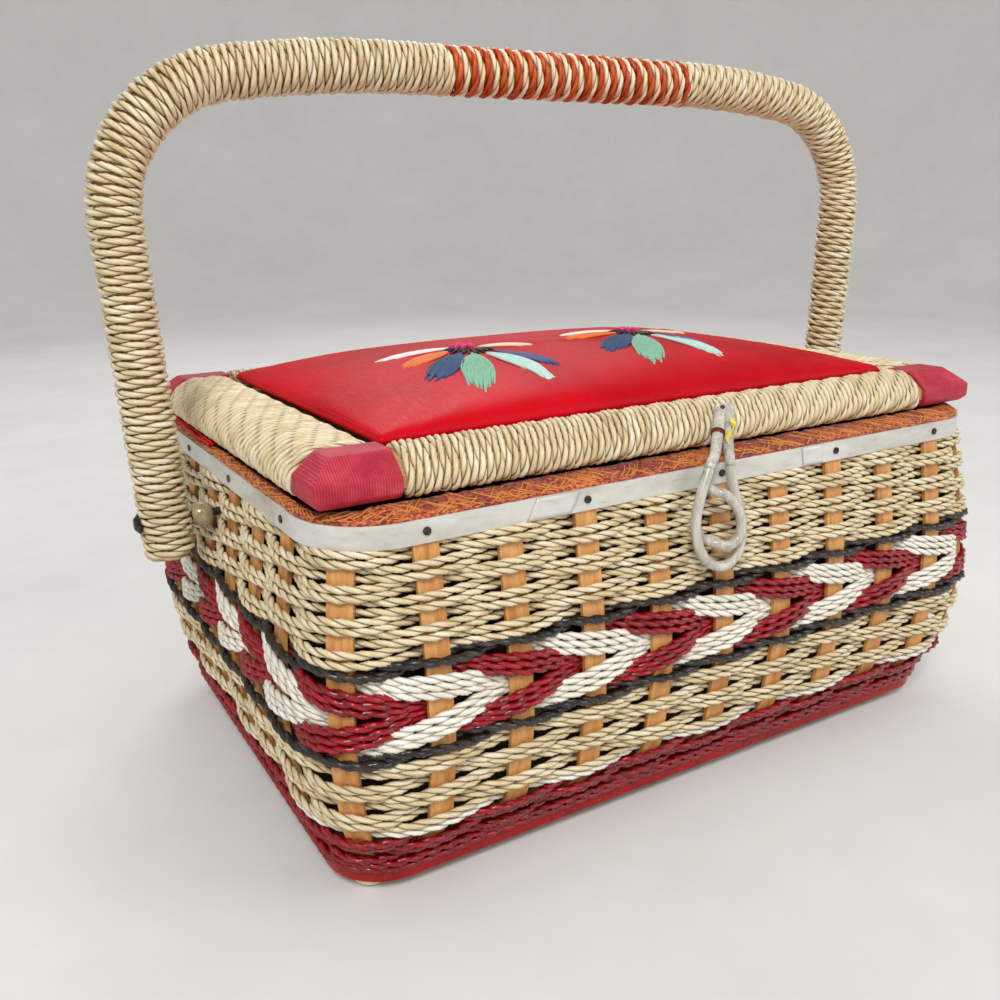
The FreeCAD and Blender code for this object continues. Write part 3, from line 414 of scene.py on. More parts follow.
def math_of(tree, operation, first, second=0.0):
    return put(tree, "Math", {0: first, 1: second}, operation=operation).outputs["Value"]


def blended(tree, first, share, second):
    """first and second added, with the given share of first."""
    kept = math_of(tree, "MULTIPLY", first, share)
    return math_of(tree, "ADD", kept, math_of(tree, "MULTIPLY", second, 1 - share))


def spread(tree, value, low, high, to_low, to_high):
    inputs = {"Value": value, "From Min": low, "From Max": high, "To Min": to_low, "To Max": to_high}
    return put(tree, "MapRange", inputs).outputs["Result"]


def finish_shader(tree, shader, colour, worn, rough, height, depth, strength=0.6):
    """Links colour, roughness round rough by worn, and bump from height to a shader."""
    tree.links.new(colour, shader.inputs["Base Color"])
    tree.links.new(spread(tree, worn, 0.3, 0.7, rough - 0.08, rough + 0.1), shader.inputs["Roughness"])
    inputs = {"Height": height, "Distance": depth * MM, "Strength": strength}
    tree.links.new(put(tree, "Bump", inputs).outputs["Normal"], shader.inputs["Normal"])


def place(tree):
    """Place on the object in metres."""
    return put(tree, "TexCoord").outputs["Object"]


def cord_material(name, dark, middle, light, groove_shade, rough, coat=0.0):
    """Fibres along each ply, tone that drifts along the cord, shade between plies."""
    material, tree, shader = start(name, Coat_Weight=coat, Coat_Roughness=0.1, Specular_IOR_Level=0.3)
    fibre = put(tree, "Attribute", attribute_name="fibre").outputs["Vector"]
    axes = put(tree, "SeparateXYZ", {"Vector": fibre})
    tone = streaks(tree, fibre, (0.045, 0.0, 0.0), 3.0, 0.6)
    streak = streaks(tree, fibre, (0.12, 2.8, 2.8), 4.0, 0.65)
    colour = ramp(tree, blended(tree, tone, 0.6, streak), (0.36, dark), (0.5, middle), (0.63, light))
    # painted shade: where the section dips between the two plies, the colour is mixed towards the darker
    # groove colour
    crest = math_of(tree, "ABSOLUTE", axes.outputs["Z"])
    mix = put(tree, "Mix", {0: spread(tree, crest, 0.05, 0.45, 0.0, 1.0)}, data_type="RGBA")
    mix.inputs[6].default_value = srgb(groove_shade)
    tree.links.new(colour, mix.inputs[7])
    finish_shader(tree, shader, mix.outputs[2], streak, rough, streak, 0.35, 0.7)
    return material


def grained_material(name, dark, light, rough, grain, depth=0.2, **sockets):
    """Streaks along one axis with finer streaks in them; grain is scale along X, Y and Z."""
    material, tree, shader = start(name, **sockets)
    where = place(tree)
    broad = streaks(tree, where, grain, 4.0, 0.6)
    fine = streaks(tree, where, tuple(6 * g for g in grain), 3.0, 0.6)
    both = blended(tree, broad, 0.7, fine)
    finish_shader(tree, shader, ramp(tree, both, (0.35, dark), (0.63, light)), fine, rough, both, depth)
    return material


def even(scale):
    return (scale, scale, scale)


def satin_material(name, dark, light, rough, period):
    """Satin with fine ribs that run front to back."""
    material, tree, shader = start(name, Specular_IOR_Level=0.1, Anisotropic=0.5)
    where = place(tree)
    ribs = waves(tree, where, period, "X", 1.4)
    fine = streaks(tree, where, (2600.0, 160.0, 160.0), 2.0, 0.5)
    broad = noise(tree, where, 24.0, 3.0, 0.5)
    weave = blended(tree, ribs, 0.55, fine)
    colour = ramp(tree, blended(tree, broad, 0.6, weave), (0.3, dark), (0.68, light))
    finish_shader(tree, shader, colour, fine, rough, weave, 0.12)
    return material


def tape_material(name, dark, light, pale):
    """Ribbed rayon tape, faded in patches."""
    material, tree, shader = start(name, Specular_IOR_Level=0.25)
    where = place(tree)
    ribs = waves(tree, where, 0.9, "X", 1.5)
    cross = waves(tree, where, 0.55, "Z", 0.8)
    fade = noise(tree, where, 110.0, 4.0, 0.65)
    weave = blended(tree, ribs, 0.7, cross)
    colour = ramp(tree, blended(tree, fade, 0.75, weave), (0.3, dark), (0.55, light), (0.8, pale))
    finish_shader(tree, shader, colour, fade, 0.48, weave, 0.18)
    return material


def brocade_material(name):
    """Rust, gold and dark red threads in short floats."""
    material, tree, shader = start(name, Sheen_Weight=0.2, Specular_IOR_Level=0.5)
    where = place(tree)
    cells = put(tree, "TexVoronoi", {"Vector": scaled(tree, where, (620.0, 620.0, 900.0)), "Scale": 1.0})
    floats = streaks(tree, where, (800.0, 800.0, 1400.0), 2.0, 0.6)
    broad = noise(tree, where, 60.0, 3.0, 0.6)
    colour = ramp(
        tree, blended(tree, floats, 0.65, broad), (0.38, "540608"), (0.48, "8c2212"),
        (0.56, "c05822"), (0.67, "e2964a"),
    )
    height = blended(tree, cells.outputs["Distance"], 0.5, floats)
    finish_shader(tree, shader, colour, floats, 0.46, height, 0.8, 0.9)
    return material


def thread_material(name, dark, light):
    """Stranded cotton: fine fibres along the stitch."""
    material, tree, shader = start(name, Specular_IOR_Level=0.3)
    fibre = put(tree, "Attribute", attribute_name="fibre").outputs["Vector"]
    strands = streaks(tree, fibre, (0.15, 3.5, 3.5), 3.0, 0.6)
    colour = ramp(tree, strands, (0.34, dark), (0.64, light))
    finish_shader(tree, shader, colour, strands, 0.5, strands, 0.2)
    return material


# Cords by colour: dark, middle, light and painted shade in the groove between plies, then roughness and
# coat
CORDS = {
    name: cord_material(f"{name}_cord", *looks)
    for name, *looks in (
        ("straw", "bea476", "e2d0a8", "f4ebd2", "644c2f", 0.4, 0.08),
        ("red", "6c000a", "960012", "b6041e", "280003", 0.3, 0.5),
        ("white", "dcd3c0", "efeadd", "faf7f0", "968872", 0.4, 0.15),
        ("dark", "14100d", "28211c", "4a4037", "080605", 0.3, 0.45),
        ("orange", "a02e06", "c64a10", "e0702a", "601402", 0.36, 0.1),
        ("cream", "debe92", "f2deb8", "faeed4", "96683e", 0.4, 0.15),
    )
}
STAKE_WOOD = grained_material("stake_wood", "b07034", "daa260", 0.42, (260.0, 260.0, 14.0))
BOARD_WOOD = grained_material("board_wood", "a87a4a", "cea876", 0.58, (14.0, 220.0, 220.0))
# dark backing behind the weave, which makes the gaps between the cords dark
DARK_BACKING = grained_material("dark_backing", "281c14", "402e21", 0.8, even(160.0))
RIM_PLASTIC = grained_material(
    "rim_plastic", "b2afa7", "d4d2cb", 0.34, (24.0, 24.0, 70.0), 0.15,
    Coat_Weight=0.25, Subsurface_Weight=0.08, Subsurface_Radius=(0.004, 0.003, 0.002),
)
RED_PAINT = grained_material(
    "red_paint", "800003", "a60206", 0.3, even(70.0), 0.15, Coat_Weight=0.2, Specular_IOR_Level=0.3
)
VINYL = grained_material(
    "grey_vinyl", "989488", "d2cfc4", 0.26, (300.0, 300.0, 26.0), 0.12,
    Coat_Weight=0.35, Subsurface_Weight=0.08, Subsurface_Radius=(0.003, 0.003, 0.002),
)
IVORY = grained_material("ivory_plastic", "c0b488", "e2d8b2", 0.32, even(120.0), 0.1, Coat_Weight=0.2)
BEAD_LACQUER = grained_material(
    "bead_lacquer", "80724e", "b0a27c", 0.22, even(240.0), 0.1, Coat_Weight=0.5
)
YELLOW_SCRAP = grained_material("yellow_scrap", "ceb228", "f2de54", 0.4, even(300.0), 0.1)
DARK_NAIL = grained_material("dark_nail", "1e1c1a", "5c5650", 0.4, even(420.0), 0.1, Metallic=1.0)
PAINTED_NAIL = grained_material("painted_nail", "460808", "781412", 0.4, even(420.0), 0.1)
BRASS = grained_material("brass", "967034", "cea65c", 0.34, even(420.0), 0.1, Metallic=1.0)
COPPER = grained_material("copper_wire", "602a24", "9c5642", 0.38, even(600.0), 0.1, Metallic=1.0)
RED_SATIN = satin_material("red_satin", "a4000c", "d2021a", 0.46, 0.95)
LINING_SATIN = satin_material("lining_satin", "a20208", "c80a10", 0.42, 1.4)
RASPBERRY_TAPE = tape_material("raspberry_tape", "961a2e", "b83044", "d05c68")
BROCADE = brocade_material("brocade")
THREADS = {
    name: thread_material(f"thread_{name}", dark, light)
    for name, dark, light in (
        ("white", "d6cec8", "f6f0ec"),
        ("orange", "ce5c24", "f0883e"),
        ("navy", "0a2c54", "225486"),
        ("mint", "64a484", "96ccae"),
        ("pale_mint", "9ec8be", "d0e8de"),
        ("violet", "2a3468", "4e5a92"),
        ("cream", "d8be9e", "f4e2c8"),
        ("pink", "be1c60", "e8528e"),
        ("gold", "b0501c", "e8a654"),
        ("black", "0e0c10", "2c262e"),
    )
}

# Camera, at the photograph's viewing angle
CAMERA_PLACE = (-237.05, -358.15, 219.92)
CAMERA_YAW = math.radians(30.30)
CAMERA_PITCH = math.radians(16.50)
CAMERA_ROLL = math.radians(-1.173)
FOCAL_PIXELS = 971.55
FRAME_PIXELS = 1000.0
SENSOR = 36.0


def add_camera():
    right = Vector((math.cos(CAMERA_YAW), -math.sin(CAMERA_YAW), 0))
    level = math.cos(CAMERA_PITCH)
    ahead = Vector((math.sin(CAMERA_YAW) * level, math.cos(CAMERA_YAW) * level, -math.sin(CAMERA_PITCH)))
    up = right.cross(ahead)
    rolled = right * math.cos(CAMERA_ROLL) + up * math.sin(CAMERA_ROLL)
    upright = up * math.cos(CAMERA_ROLL) - right * math.sin(CAMERA_ROLL)
    data = bpy.data.cameras.new("camera")
    data.sensor_width = SENSOR
    data.lens = FOCAL_PIXELS / FRAME_PIXELS * SENSOR
    data.clip_start = 0.01
    camera = add_object("camera", data)
    turn = Matrix((rolled, upright, -ahead)).transposed()
    camera.matrix_world = Matrix.Translation(Vector(CAMERA_PLACE) * MM) @ turn.to_4x4()
    bpy.context.scene.camera = camera


add_camera()

# Studio: pale floor, pale surroundings and soft lamps
FLOOR_REACH = 1.8
COVE = 0.9
WALL_TOP = 1.7
BACKDROP = 0.35
AMBIENT = 0.6
FLOOR_SIDES = 72
LAMPS = (
    ("key", (-0.7, -1.0, 1.25), 0.5, 16.0),
    ("fill", (1.0, -1.1, 0.7), 0.8, 6.0),
    ("back", (0.4, 1.1, 1.2), 0.7, 6.0),
)


def add_lamp(name, where, size, power, aim=(0, 0, 0.1)):
    data = bpy.data.lights.new(name, "AREA")
    data.shape = "DISK"
    data.size = size
    data.energy = power
    lamp = add_object(name, data)
    lamp.location = where
    lamp.rotation_euler = (Vector(aim) - Vector(where)).to_track_quat("-Z", "Y").to_euler()


def add_floor():
    """Round floor that curves up into a wall."""
    floor = bpy.data.meshes.new("floor")
    bend = np.linspace(0, math.pi / 2, 13)
    reach = np.concatenate([[0.02, 0.6, 1.2], FLOOR_REACH + COVE * np.sin(bend), [FLOOR_REACH + COVE]])
    rise = np.concatenate([[0, 0, 0], COVE * (1 - np.cos(bend)), [WALL_TOP]])
    way = np.linspace(0, 2 * math.pi, FLOOR_SIDES, endpoint=False)
    level = np.ones(FLOOR_SIDES)
    rings = [np.outer(reach, np.cos(way)), np.outer(reach, np.sin(way)), np.outer(rise, level)]
    faces = grid_faces(len(reach), FLOOR_SIDES, True).tolist() + [list(range(FLOOR_SIDES))]
    floor.from_pydata(np.stack(rings, axis=-1).reshape(-1, 3).tolist(), [], faces)
    for polygon in floor.polygons:
        polygon.use_smooth = True
    made = add_object("floor", floor)
    pale = ("d8d7d4", "e0dfdc")
    cloth = grained_material("studio_floor", *pale, 0.9, even(5.0), 0.05, Specular_IOR_Level=0.0)
    floor.materials.append(cloth)
    made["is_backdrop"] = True


def add_world():
    """White surroundings; what is seen or mirrored is dimmer than what lights the box."""
    world = bpy.data.worlds.new("studio")
    bpy.context.scene.world = world
    world.use_nodes = True
    tree = world.node_tree
    rays = put(tree, "LightPath")
    seen = math_of(tree, "MAXIMUM", rays.outputs["Is Camera Ray"], rays.outputs["Is Glossy Ray"])
    strength = spread(tree, seen, 0.0, 1.0, AMBIENT, BACKDROP)
    tree.links.new(strength, tree.nodes["Background"].inputs["Strength"])
    tree.nodes["Background"].inputs["Color"].default_value = (1.0, 1.0, 1.0, 1.0)


add_floor()
add_world()
for lamp in LAMPS:
    add_lamp(*lamp)
bpy.context.scene.view_settings.view_transform = "Standard"

# Weave: pairs of cord over one stake and behind the next
OVER = STAKE_HALF + CORD
PAIR_SPREAD = 3.1
PAIR_CLOSE = 2.5
ROW_DRIFT, CORD_DRIFT, DEPTH_DRIFT = 0.35, 0.3, 0.2
FINE_WAVES = 9
BOTH = (-1, 1)
LAY_SPREAD = (0.9, 1.1)
POINTS_PER_STAKE = 22


def row_turns(row):
    """Stake numbers along a row that starts and ends behind a rear stake."""
    first = REAR_MIDDLE + (REAR_MIDDLE + row) % 2
    return np.linspace(first, first + STAKE_COUNT, STAKE_COUNT * POINTS_PER_STAKE + 1)


def woven_pair(strands, row, middle, cords, push=0.0):
    """One row; odd sums of stake and row number pass in front."""
    turn = row_turns(row)
    front = np.cos(math.pi * (turn + row + 1))
    gap = PAIR_CLOSE + (PAIR_SPREAD - PAIR_CLOSE) * np.abs(front)
    drift = wander(strands.random, turn, ROW_DRIFT)
    for side in cords:
        own = wander(strands.random, turn, CORD_DRIFT, FINE_WAVES)
        z = middle + side * gap / 2 + drift + own
        depth = OVER * front + push + wander(strands.random, turn, DEPTH_DRIFT, FINE_WAVES)
        strands.cord(*wall_point(turn, z, depth), lay=LAY * strands.random.uniform(*LAY_SPREAD))


def rows_between(bottom, top, count):
    pitch = (top - bottom) / count
    return [top - pitch * (index + 0.5) for index in range(count)]


UPPER_BOTTOM, UPPER_TOP = half_sizes("upper_natural_rows")[2:]
LOWER_TOP = half_sizes("lower_natural_rows")[3]
WHITE_BOTTOM = half_sizes("white_row")[2]
RED_BOTTOM, RED_TOP = half_sizes("red_rows")[2:]
UPPER_ROWS, LOWER_ROWS, RED_ROWS = 7, 5, 3

LOWER_FIRST = 13
RED_FIRST = LOWER_FIRST + LOWER_ROWS
RED_PUSH = 0.7


def weave_rows(label, colour, node, seed, first, middles, push=0.0, last=BOTH):
    """Rows from the top down; push is what each adds outwards, last the last row's cords."""
    for number, middle in enumerate(middles):
        strands = Strands(seed + number)
        cords = last if number == len(middles) - 1 else BOTH
        woven_pair(strands, first + number, middle, cords, push * (number + 1))
        strands.make_cord(f"{label}_row_{number + 1}", "basket", colour, node)


upper_rows = rows_between(UPPER_BOTTOM, UPPER_TOP, UPPER_ROWS)
lower_rows = rows_between(WHITE_BOTTOM, LOWER_TOP, LOWER_ROWS)
red_rows = rows_between(RED_BOTTOM, RED_TOP, RED_ROWS)
weave_rows("upper_natural", "straw", "upper_natural_rows", 100, 0, upper_rows)
weave_rows("lower_natural", "straw", "lower_natural_rows", 200, LOWER_FIRST, lower_rows, last=(1,))
white = Strands(210)
woven_pair(white, RED_FIRST - 1, lower_rows[-1], (-1,))
white.make_cord("white_cord_row", "basket", "white", "white_row")
weave_rows("red_cord", "red", "red_rows", 220, RED_FIRST, red_rows, RED_PUSH)

# Border: two red cords that lap over the top edge of the base band; out, rise and row
BORDER = ((1.3, 0.6, 0), (1.0, -1.7, 1))
BORDER_SWAY, BORDER_DRIFT = 0.5, 0.4
SWAY_UP, SWAY_OUT = 0.8, 0.4
border = Strands(225)
for out, rise, row in BORDER:
    turn = row_turns(row)
    sway = BORDER_SWAY * np.cos(math.pi * (turn + row))
    sway = sway + wander(border.random, turn, BORDER_DRIFT, FINE_WAVES)
    z, depth = RED_BOTTOM + rise + SWAY_UP * sway, STAKE_INSET + out + SWAY_OUT * sway
    border.cord(*wall_point(turn, z, depth))
border.make_cord("red_border_cord", "basket", "red", "red_rows")

# Dark rows: two cords twined, so that one of them crosses every stake
TWINE = 1.75
TWINE_RISE = 1.3
TWINE_DRIFT = 0.3


def twined_row(name, node, seed):
    bottom, top = half_sizes(node)[2:]
    strands = Strands(seed)
    for row in (0, 1):
        turn = row_turns(row)
        front = np.cos(math.pi * (turn + row + 1))
        rise = TWINE_RISE * np.sin(math.pi * (turn + row + 1))
        z = (bottom + top) / 2 - rise + wander(strands.random, turn, TWINE_DRIFT)
        strands.cord(*wall_point(turn, z, (STAKE_HALF + TWINE) * front), radius=TWINE)
    strands.make_cord(name, "basket", "dark", node)


twined_row("upper_dark_twine", "upper_dark_row", 230)
twined_row("lower_dark_twine", "lower_dark_row", 231)

# Chevrons: groups of three cords that slope to a point between the stakes
CHEVRON_MIDDLE = sum(half_sizes("chevron_band")[2:]) / 2
CHEVRON_CORD = 1.6
ARM_RISE = 6.2
ARM_SLOPE = 5.2
ARM_CORDS = (-1, 0, 1)
ARM_SPREAD = 2.8
ARM_CLOSE = 1.5
ARM_TAPER = 1.6
ARM_JITTER, CORD_JITTER = 0.3, 0.2
ARM_LAYER = 0.3


def chevron_arm(strands, stake, sign):
    """One arm over a stake, from behind the stake before to behind the stake after."""
    share = np.linspace(-1, 1, 2 * POINTS_PER_STAKE + 1)
    gap = ARM_SPREAD + (ARM_CLOSE - ARM_SPREAD) * np.abs(share) ** ARM_TAPER
    middle = CHEVRON_MIDDLE + sign * (ARM_RISE - ARM_SLOPE * share)
    front = (STAKE_HALF + CHEVRON_CORD) * np.cos(math.pi * share)
    jitter = strands.random.uniform(-ARM_JITTER, ARM_JITTER)
    for number in ARM_CORDS:
        z = middle + number * gap + jitter + strands.random.uniform(-CORD_JITTER, CORD_JITTER)
        layered = front + ARM_LAYER * (1 - abs(number)) * np.abs(share)
        strands.cord(*wall_point(stake + share, z, layered), radius=CHEVRON_CORD)


for parity, colour in enumerate(("white", "red")):
    for label, sign in (("upper", 1), ("lower", -1)):
        strands = Strands(240 + 2 * parity + (sign > 0))
        for stake in range(parity, STAKE_COUNT, 2):
            chevron_arm(strands, STAKE_COUNT + stake, sign)
        strands.make_cord(f"{colour}_{label}_chevrons", "basket", colour, "chevron_band")

# Handle: cord wound round the bent core
HANDLE_CORD = 1.6
HANDLE_LAY = 16.0
CORE = 6.4
WOUND = CORE + HANDLE_CORD
LEG_RADIUS = 9.0
PIN_HEAD = 1.8
PIN_PLAY = 0.3
PIVOT_X = node_box("pivot_pins")[1][0] - PIN_HEAD - PIN_PLAY - LEG_RADIUS
PIVOT_Z = joints["handle_swing"]["pos_m"][2] / MM
HANDLE_TOP = node_box("handle_core")[1][2] - CORE
SPLAY = math.radians(2.4)
BEND = 48.0
CROWN = 440.0
BEND_POINTS, CROWN_POINTS = 120, 60
GRIP_LOW = node_box("left_handle_wrap")[1][0]
GRIP_HIGH = node_box("right_handle_wrap")[0][0]
FOOT_DROP = 14.0
WRAP_PITCH = 3.2
COIL_POINTS = 40
COIL_UNEVEN = 0.16
SLIDE = 0.5
SPIRAL_POINTS = 120


def handle_line():
    """Centre line of the whole handle, left foot to right foot, as dense points."""
    leg = np.array([math.sin(SPLAY), math.cos(SPLAY)])
    inward = np.array([-math.cos(SPLAY), math.sin(SPLAY)])
    pivot = np.array([PIVOT_X, PIVOT_Z])
    crown = np.array([GRIP_HIGH, HANDLE_TOP - CROWN])
    offset = pivot + inward * BEND - crown
    along = offset @ leg
    climb = -along + math.sqrt(along**2 - offset @ offset + (CROWN - BEND) ** 2)
    bend = pivot + inward * BEND + leg * climb
    to_bend = (bend - crown) / np.linalg.norm(bend - crown)
    first = math.atan2(-inward[1], -inward[0])
    last = math.atan2(to_bend[1], to_bend[0])
    arc = np.linspace(first, last, BEND_POINTS)
    over = np.linspace(last, math.pi / 2, CROWN_POINTS)
    bent = bend + BEND * np.stack([np.cos(arc), np.sin(arc)], axis=1)
    crowned = crown + CROWN * np.stack([np.cos(over), np.sin(over)], axis=1)
    right = np.concatenate([[pivot - leg * FOOT_DROP], bent, crowned])
    flat = np.concatenate([right * [-1, 1], right[::-1]])
    return np.stack([flat[:, 0], np.zeros(len(flat)), flat[:, 1]], axis=1)


HANDLE = handle_line()
HANDLE_S = run_lengths(HANDLE)
HANDLE_LENGTH = HANDLE_S[-1]


def handle_at(s):
    """Points on the handle's centre line, carried on straight past its ends."""
    inside = np.clip(s, 0, HANDLE_LENGTH)
    line = sampled(inside, HANDLE_S, HANDLE)
    foot = unit(HANDLE[0] - HANDLE[1])
    past = np.clip(-s, 0, None)[:, None] * foot
    return line + past + np.clip(s - HANDLE_LENGTH, 0, None)[:, None] * foot * [-1, 1, 1]


def wound(strands, s, angle, reach, radius):
    """Cord wound round the handle at lengths s, angles and distances from its centre."""
    ahead = unit(handle_at(s + 0.5) - handle_at(s - 0.5))
    side = np.tile([0.0, 1.0, 0.0], (len(s), 1))
    out = np.cos(angle)[:, None] * side + np.sin(angle)[:, None] * np.cross(ahead, side)
    strands.cord(handle_at(s) + np.reshape(reach, (-1, 1)) * out, out, radius, HANDLE_LAY)


def slid(random, share, waves):
    """Slow drift of a winding along its core, none at its ends."""
    eased = np.minimum(1, 8 * np.minimum(share, 1 - share))
    return wander(random, share * STAKE_COUNT, SLIDE, waves) * eased


def coil(strands, first, last, turns, radius, reach):
    """Even turns of cord between two lengths along the handle."""
    share = np.linspace(0, 1, int(turns * COIL_POINTS) + 1)
    uneven = reach + wander(strands.random, share * STAKE_COUNT, COIL_UNEVEN, FINE_WAVES)
    s = first + share * (last - first) + slid(strands.random, share, 12)
    wound(strands, s, 2 * math.pi * turns * share, uneven, radius)


def foot_spiral(strands, s):
    """Flat spiral that closes the end of the handle."""
    turns = (WOUND - HANDLE_CORD / 2) / (2 * HANDLE_CORD)
    share = np.linspace(0, 1, SPIRAL_POINTS)
    reach = WOUND * (1 - share) + HANDLE_CORD / 4
    wound(strands, np.full(SPIRAL_POINTS, s), 2 * math.pi * turns * share, reach, HANDLE_CORD)


GRIP_LAP = 3.5
left_end = HANDLE_LENGTH / 2 + GRIP_LOW
right_start = HANDLE_LENGTH / 2 + GRIP_HIGH - GRIP_LAP
for label, first, last in (
    ("left", HANDLE_CORD, left_end - HANDLE_CORD),
    ("right", HANDLE_LENGTH - HANDLE_CORD, right_start + HANDLE_CORD),
):
    middle_s = (first + last) / 2
    turns = round(abs(middle_s - first) / WRAP_PITCH)
    for half, low, high in (("lower", first, middle_s), ("upper", middle_s, last)):
        strands = Strands(300 + len(label) + 10 * (half == "upper"))
        coil(strands, low, high, turns, HANDLE_CORD, WOUND)
        if half == "lower":
            foot_spiral(strands, first)
        strands.make_cord(f"{label}_handle_cord_{half}", "handle", "straw", f"{label}_handle_wrap")

GRIP_TURNS = 17
GRIP_PITCH = (right_start - left_end) / GRIP_TURNS
for colour, shift, radius in (("orange", 0.25, 1.6), ("cream", -0.25, 1.45)):
    strands = Strands(330 + len(colour))
    low = left_end + GRIP_PITCH * (shift - 0.5)
    turns = GRIP_TURNS + 1
    coil(strands, low, low + GRIP_PITCH * turns, turns, radius, CORE + radius)
    strands.make_cord(f"grip_cord_{colour}", "handle", colour, f"grip_winding_{colour}")

# Lid bars: cord wound round a bar with eased edges
BAR_TUCK, BAR_BEVEL, BAR_FALL = 2.5, 8.0, 7.0
BAR_CORD = 1.55
BAR_PITCH = 3.1
BAR_POINTS = 60
BAR_LEAN = 1.4
BAR_ROUNDINGS = (2.5, 3.0, 9.0, 9.0, 6.0, 2.5)


def rounded_section(corners, radii, steps=6):
    """Closed outline through the corners with each one rounded."""
    outline = []
    count = len(corners)
    for index in range(count):
        before, corner, after = (np.array(corners[(index + k - 1) % count], float) for k in range(3))
        sides = [np.linalg.norm(before - corner), np.linalg.norm(after - corner)]
        into, out = (before - corner) / sides[0], (after - corner) / sides[1]
        half = math.acos(np.clip(into @ out, -1, 1)) / 2
        back = min(radii[index] / math.tan(half), 0.48 * min(sides))
        first, last = corner + into * back, corner + out * back
        for share in np.linspace(0, 1, steps):
            near = first + (corner - first) * share
            far = corner + (last - corner) * share
            outline.append(near + (far - near) * share)
    return np.array(outline)


def bar_outline(width, height):
    """Closed section of a bar's winding: in from its outer side and up from its foot."""
    tuck, top, inner = BAR_TUCK + BAR_CORD / 2, height - BAR_CORD, width - BAR_CORD
    corners = [
        (tuck, BAR_CORD), (BAR_CORD, tuck), (BAR_CORD, height - BAR_FALL - BAR_CORD / 2),
        (BAR_BEVEL + BAR_CORD / 2, top), (inner, top), (inner, BAR_CORD),
    ]
    outline = rounded_section(corners, BAR_ROUNDINGS)
    return np.concatenate([outline, outline[:1]])


def lid_bar(node, along, seed):
    """Cord wound along one bar; along is the axis the bar runs on."""
    low, high = node_box(node)
    across = 1 - along
    outward = 1 if low[across] + high[across] > 0 else -1
    outer = high[across] if outward > 0 else low[across]
    width = high[across] - low[across]
    height = high[2] - low[2]
    closed = bar_outline(width, height)
    lengths = run_lengths(closed)
    length = high[along] - low[along] - 2 * BAR_CORD
    turns = int(length / BAR_PITCH)
    share = np.linspace(0, 1, turns * BAR_POINTS + 1)
    w, h = sampled((share * turns * lengths[-1]) % lengths[-1], lengths, closed).T
    strands = Strands(seed)
    slide = slid(strands.random, share, 20)
    points = np.zeros((len(share), 3))
    normals = np.zeros((len(share), 3))
    points[:, along] = low[along] + BAR_CORD + share * length + slide
    points[:, across] = outer - outward * w
    points[:, 2] = low[2] + h
    normals[:, across] = -outward * (w - width / 2)
    normals[:, 2] = (h - height / 2) * BAR_LEAN
    strands.cord(points, normals, BAR_CORD, HANDLE_LAY)
    strands.make_cord(node.replace("_wrap", "_cord"), "lid", "straw", node)


for seed, side in enumerate(("front", "rear", "left", "right")):
    lid_bar(f"{side}_bar_wrap", seed // 2, 400 + seed)


# Soft pieces that start from a frame solid
def settle(obj):
    """Applies what the modifiers make of the mesh."""
    graph = bpy.context.evaluated_depsgraph_get()
    mesh = bpy.data.meshes.new_from_object(obj.evaluated_get(graph))
    obj.modifiers.clear()
    obj.data = mesh


def remesh(obj, voxel):
    shaped = obj.modifiers.new("remesh", "REMESH")
    shaped.mode = "VOXEL"
    shaped.voxel_size = voxel * MM
    shaped.use_smooth_shade = True


def coords(mesh):
    flat = np.empty(3 * len(mesh.vertices))
    mesh.vertices.foreach_get("co", flat)
    return flat.reshape(-1, 3) / MM


def set_coords(mesh, points):
    mesh.vertices.foreach_set("co", (points * MM).ravel())
    mesh.update()


# Taped corners: the frame's blocks with their edges worn round
COVER_VOXEL = 0.7
COVER_WEAR = 5
for corner in ("front_left", "front_right", "rear_left", "rear_right"):
    node = f"{corner}_cover"
    cover = add_object(f"{corner}_tape", nodes[node].data.copy())
    remesh(cover, COVER_VOXEL)
    worn = cover.modifiers.new("worn", "SMOOTH")
    worn.factor = 0.5
    worn.iterations = COVER_WEAR
    settle(cover)
    dress(cover, "lid", RASPBERRY_TAPE)
    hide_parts(node)

# Pad: satin over wadding, blown up a little by the cloth simulation
PAD_COUNT = (61, 43)
PAD_EDGE = 152.6
PAD_CROWN = 163.4
PAD_PRESSURE = 3.0
PAD_FRAMES = 20
PAD_CAP = 1.6
PAD_HELD = 1.0
PAD_X, PAD_Y, PAD_FOOT, _ = half_sizes("lid_pad")
ROLL_X, ROLL_Y = (3.2, 0.62), (3.6, 0.5)
PUCKER, PUCKER_PITCH, PUCKER_REACH = 0.35, 2.9, 9


def pad_shape():
    """Domed top that rolls down at the front and rear, with a skirt to the board."""
    columns, rows = PAD_COUNT
    u, v = np.meshgrid(np.linspace(-1, 1, columns), np.linspace(-1, 1, rows))
    dome = np.clip(1 - np.abs(u) ** ROLL_X[0], 0, 1) ** ROLL_X[1]
    dome = dome * np.clip(1 - np.abs(v) ** ROLL_Y[0], 0, 1) ** ROLL_Y[1]
    edge = np.minimum((1 - np.abs(u)) * PAD_X, (1 - np.abs(v)) * PAD_Y)
    pucker = PUCKER * np.sin(u * PAD_X / PUCKER_PITCH + 2 * np.sin(v * 5))
    pucker = pucker * np.exp(-edge / PUCKER_REACH) * (edge > 0)
    z = PAD_EDGE + (PAD_CROWN - PAD_EDGE) * dome + pucker
    top = np.stack([u * PAD_X, v * PAD_Y, z], axis=-1).reshape(-1, 3)
    index = np.arange(columns * rows).reshape(rows, columns)
    rim = np.concatenate([index[0, :-1], index[:-1, -1], index[-1, :0:-1], index[:0:-1, 0]])
    foot = top[rim] * [1, 1, 0] + [0, 0, PAD_FOOT]
    below = len(top) + np.arange(len(rim))
    skirt = np.stack([below, np.roll(below, -1), np.roll(rim, -1), rim], axis=1)
    faces = np.concatenate([grid_faces(rows, columns), skirt])
    return np.concatenate([top, foot]), faces, [below[::-1]]


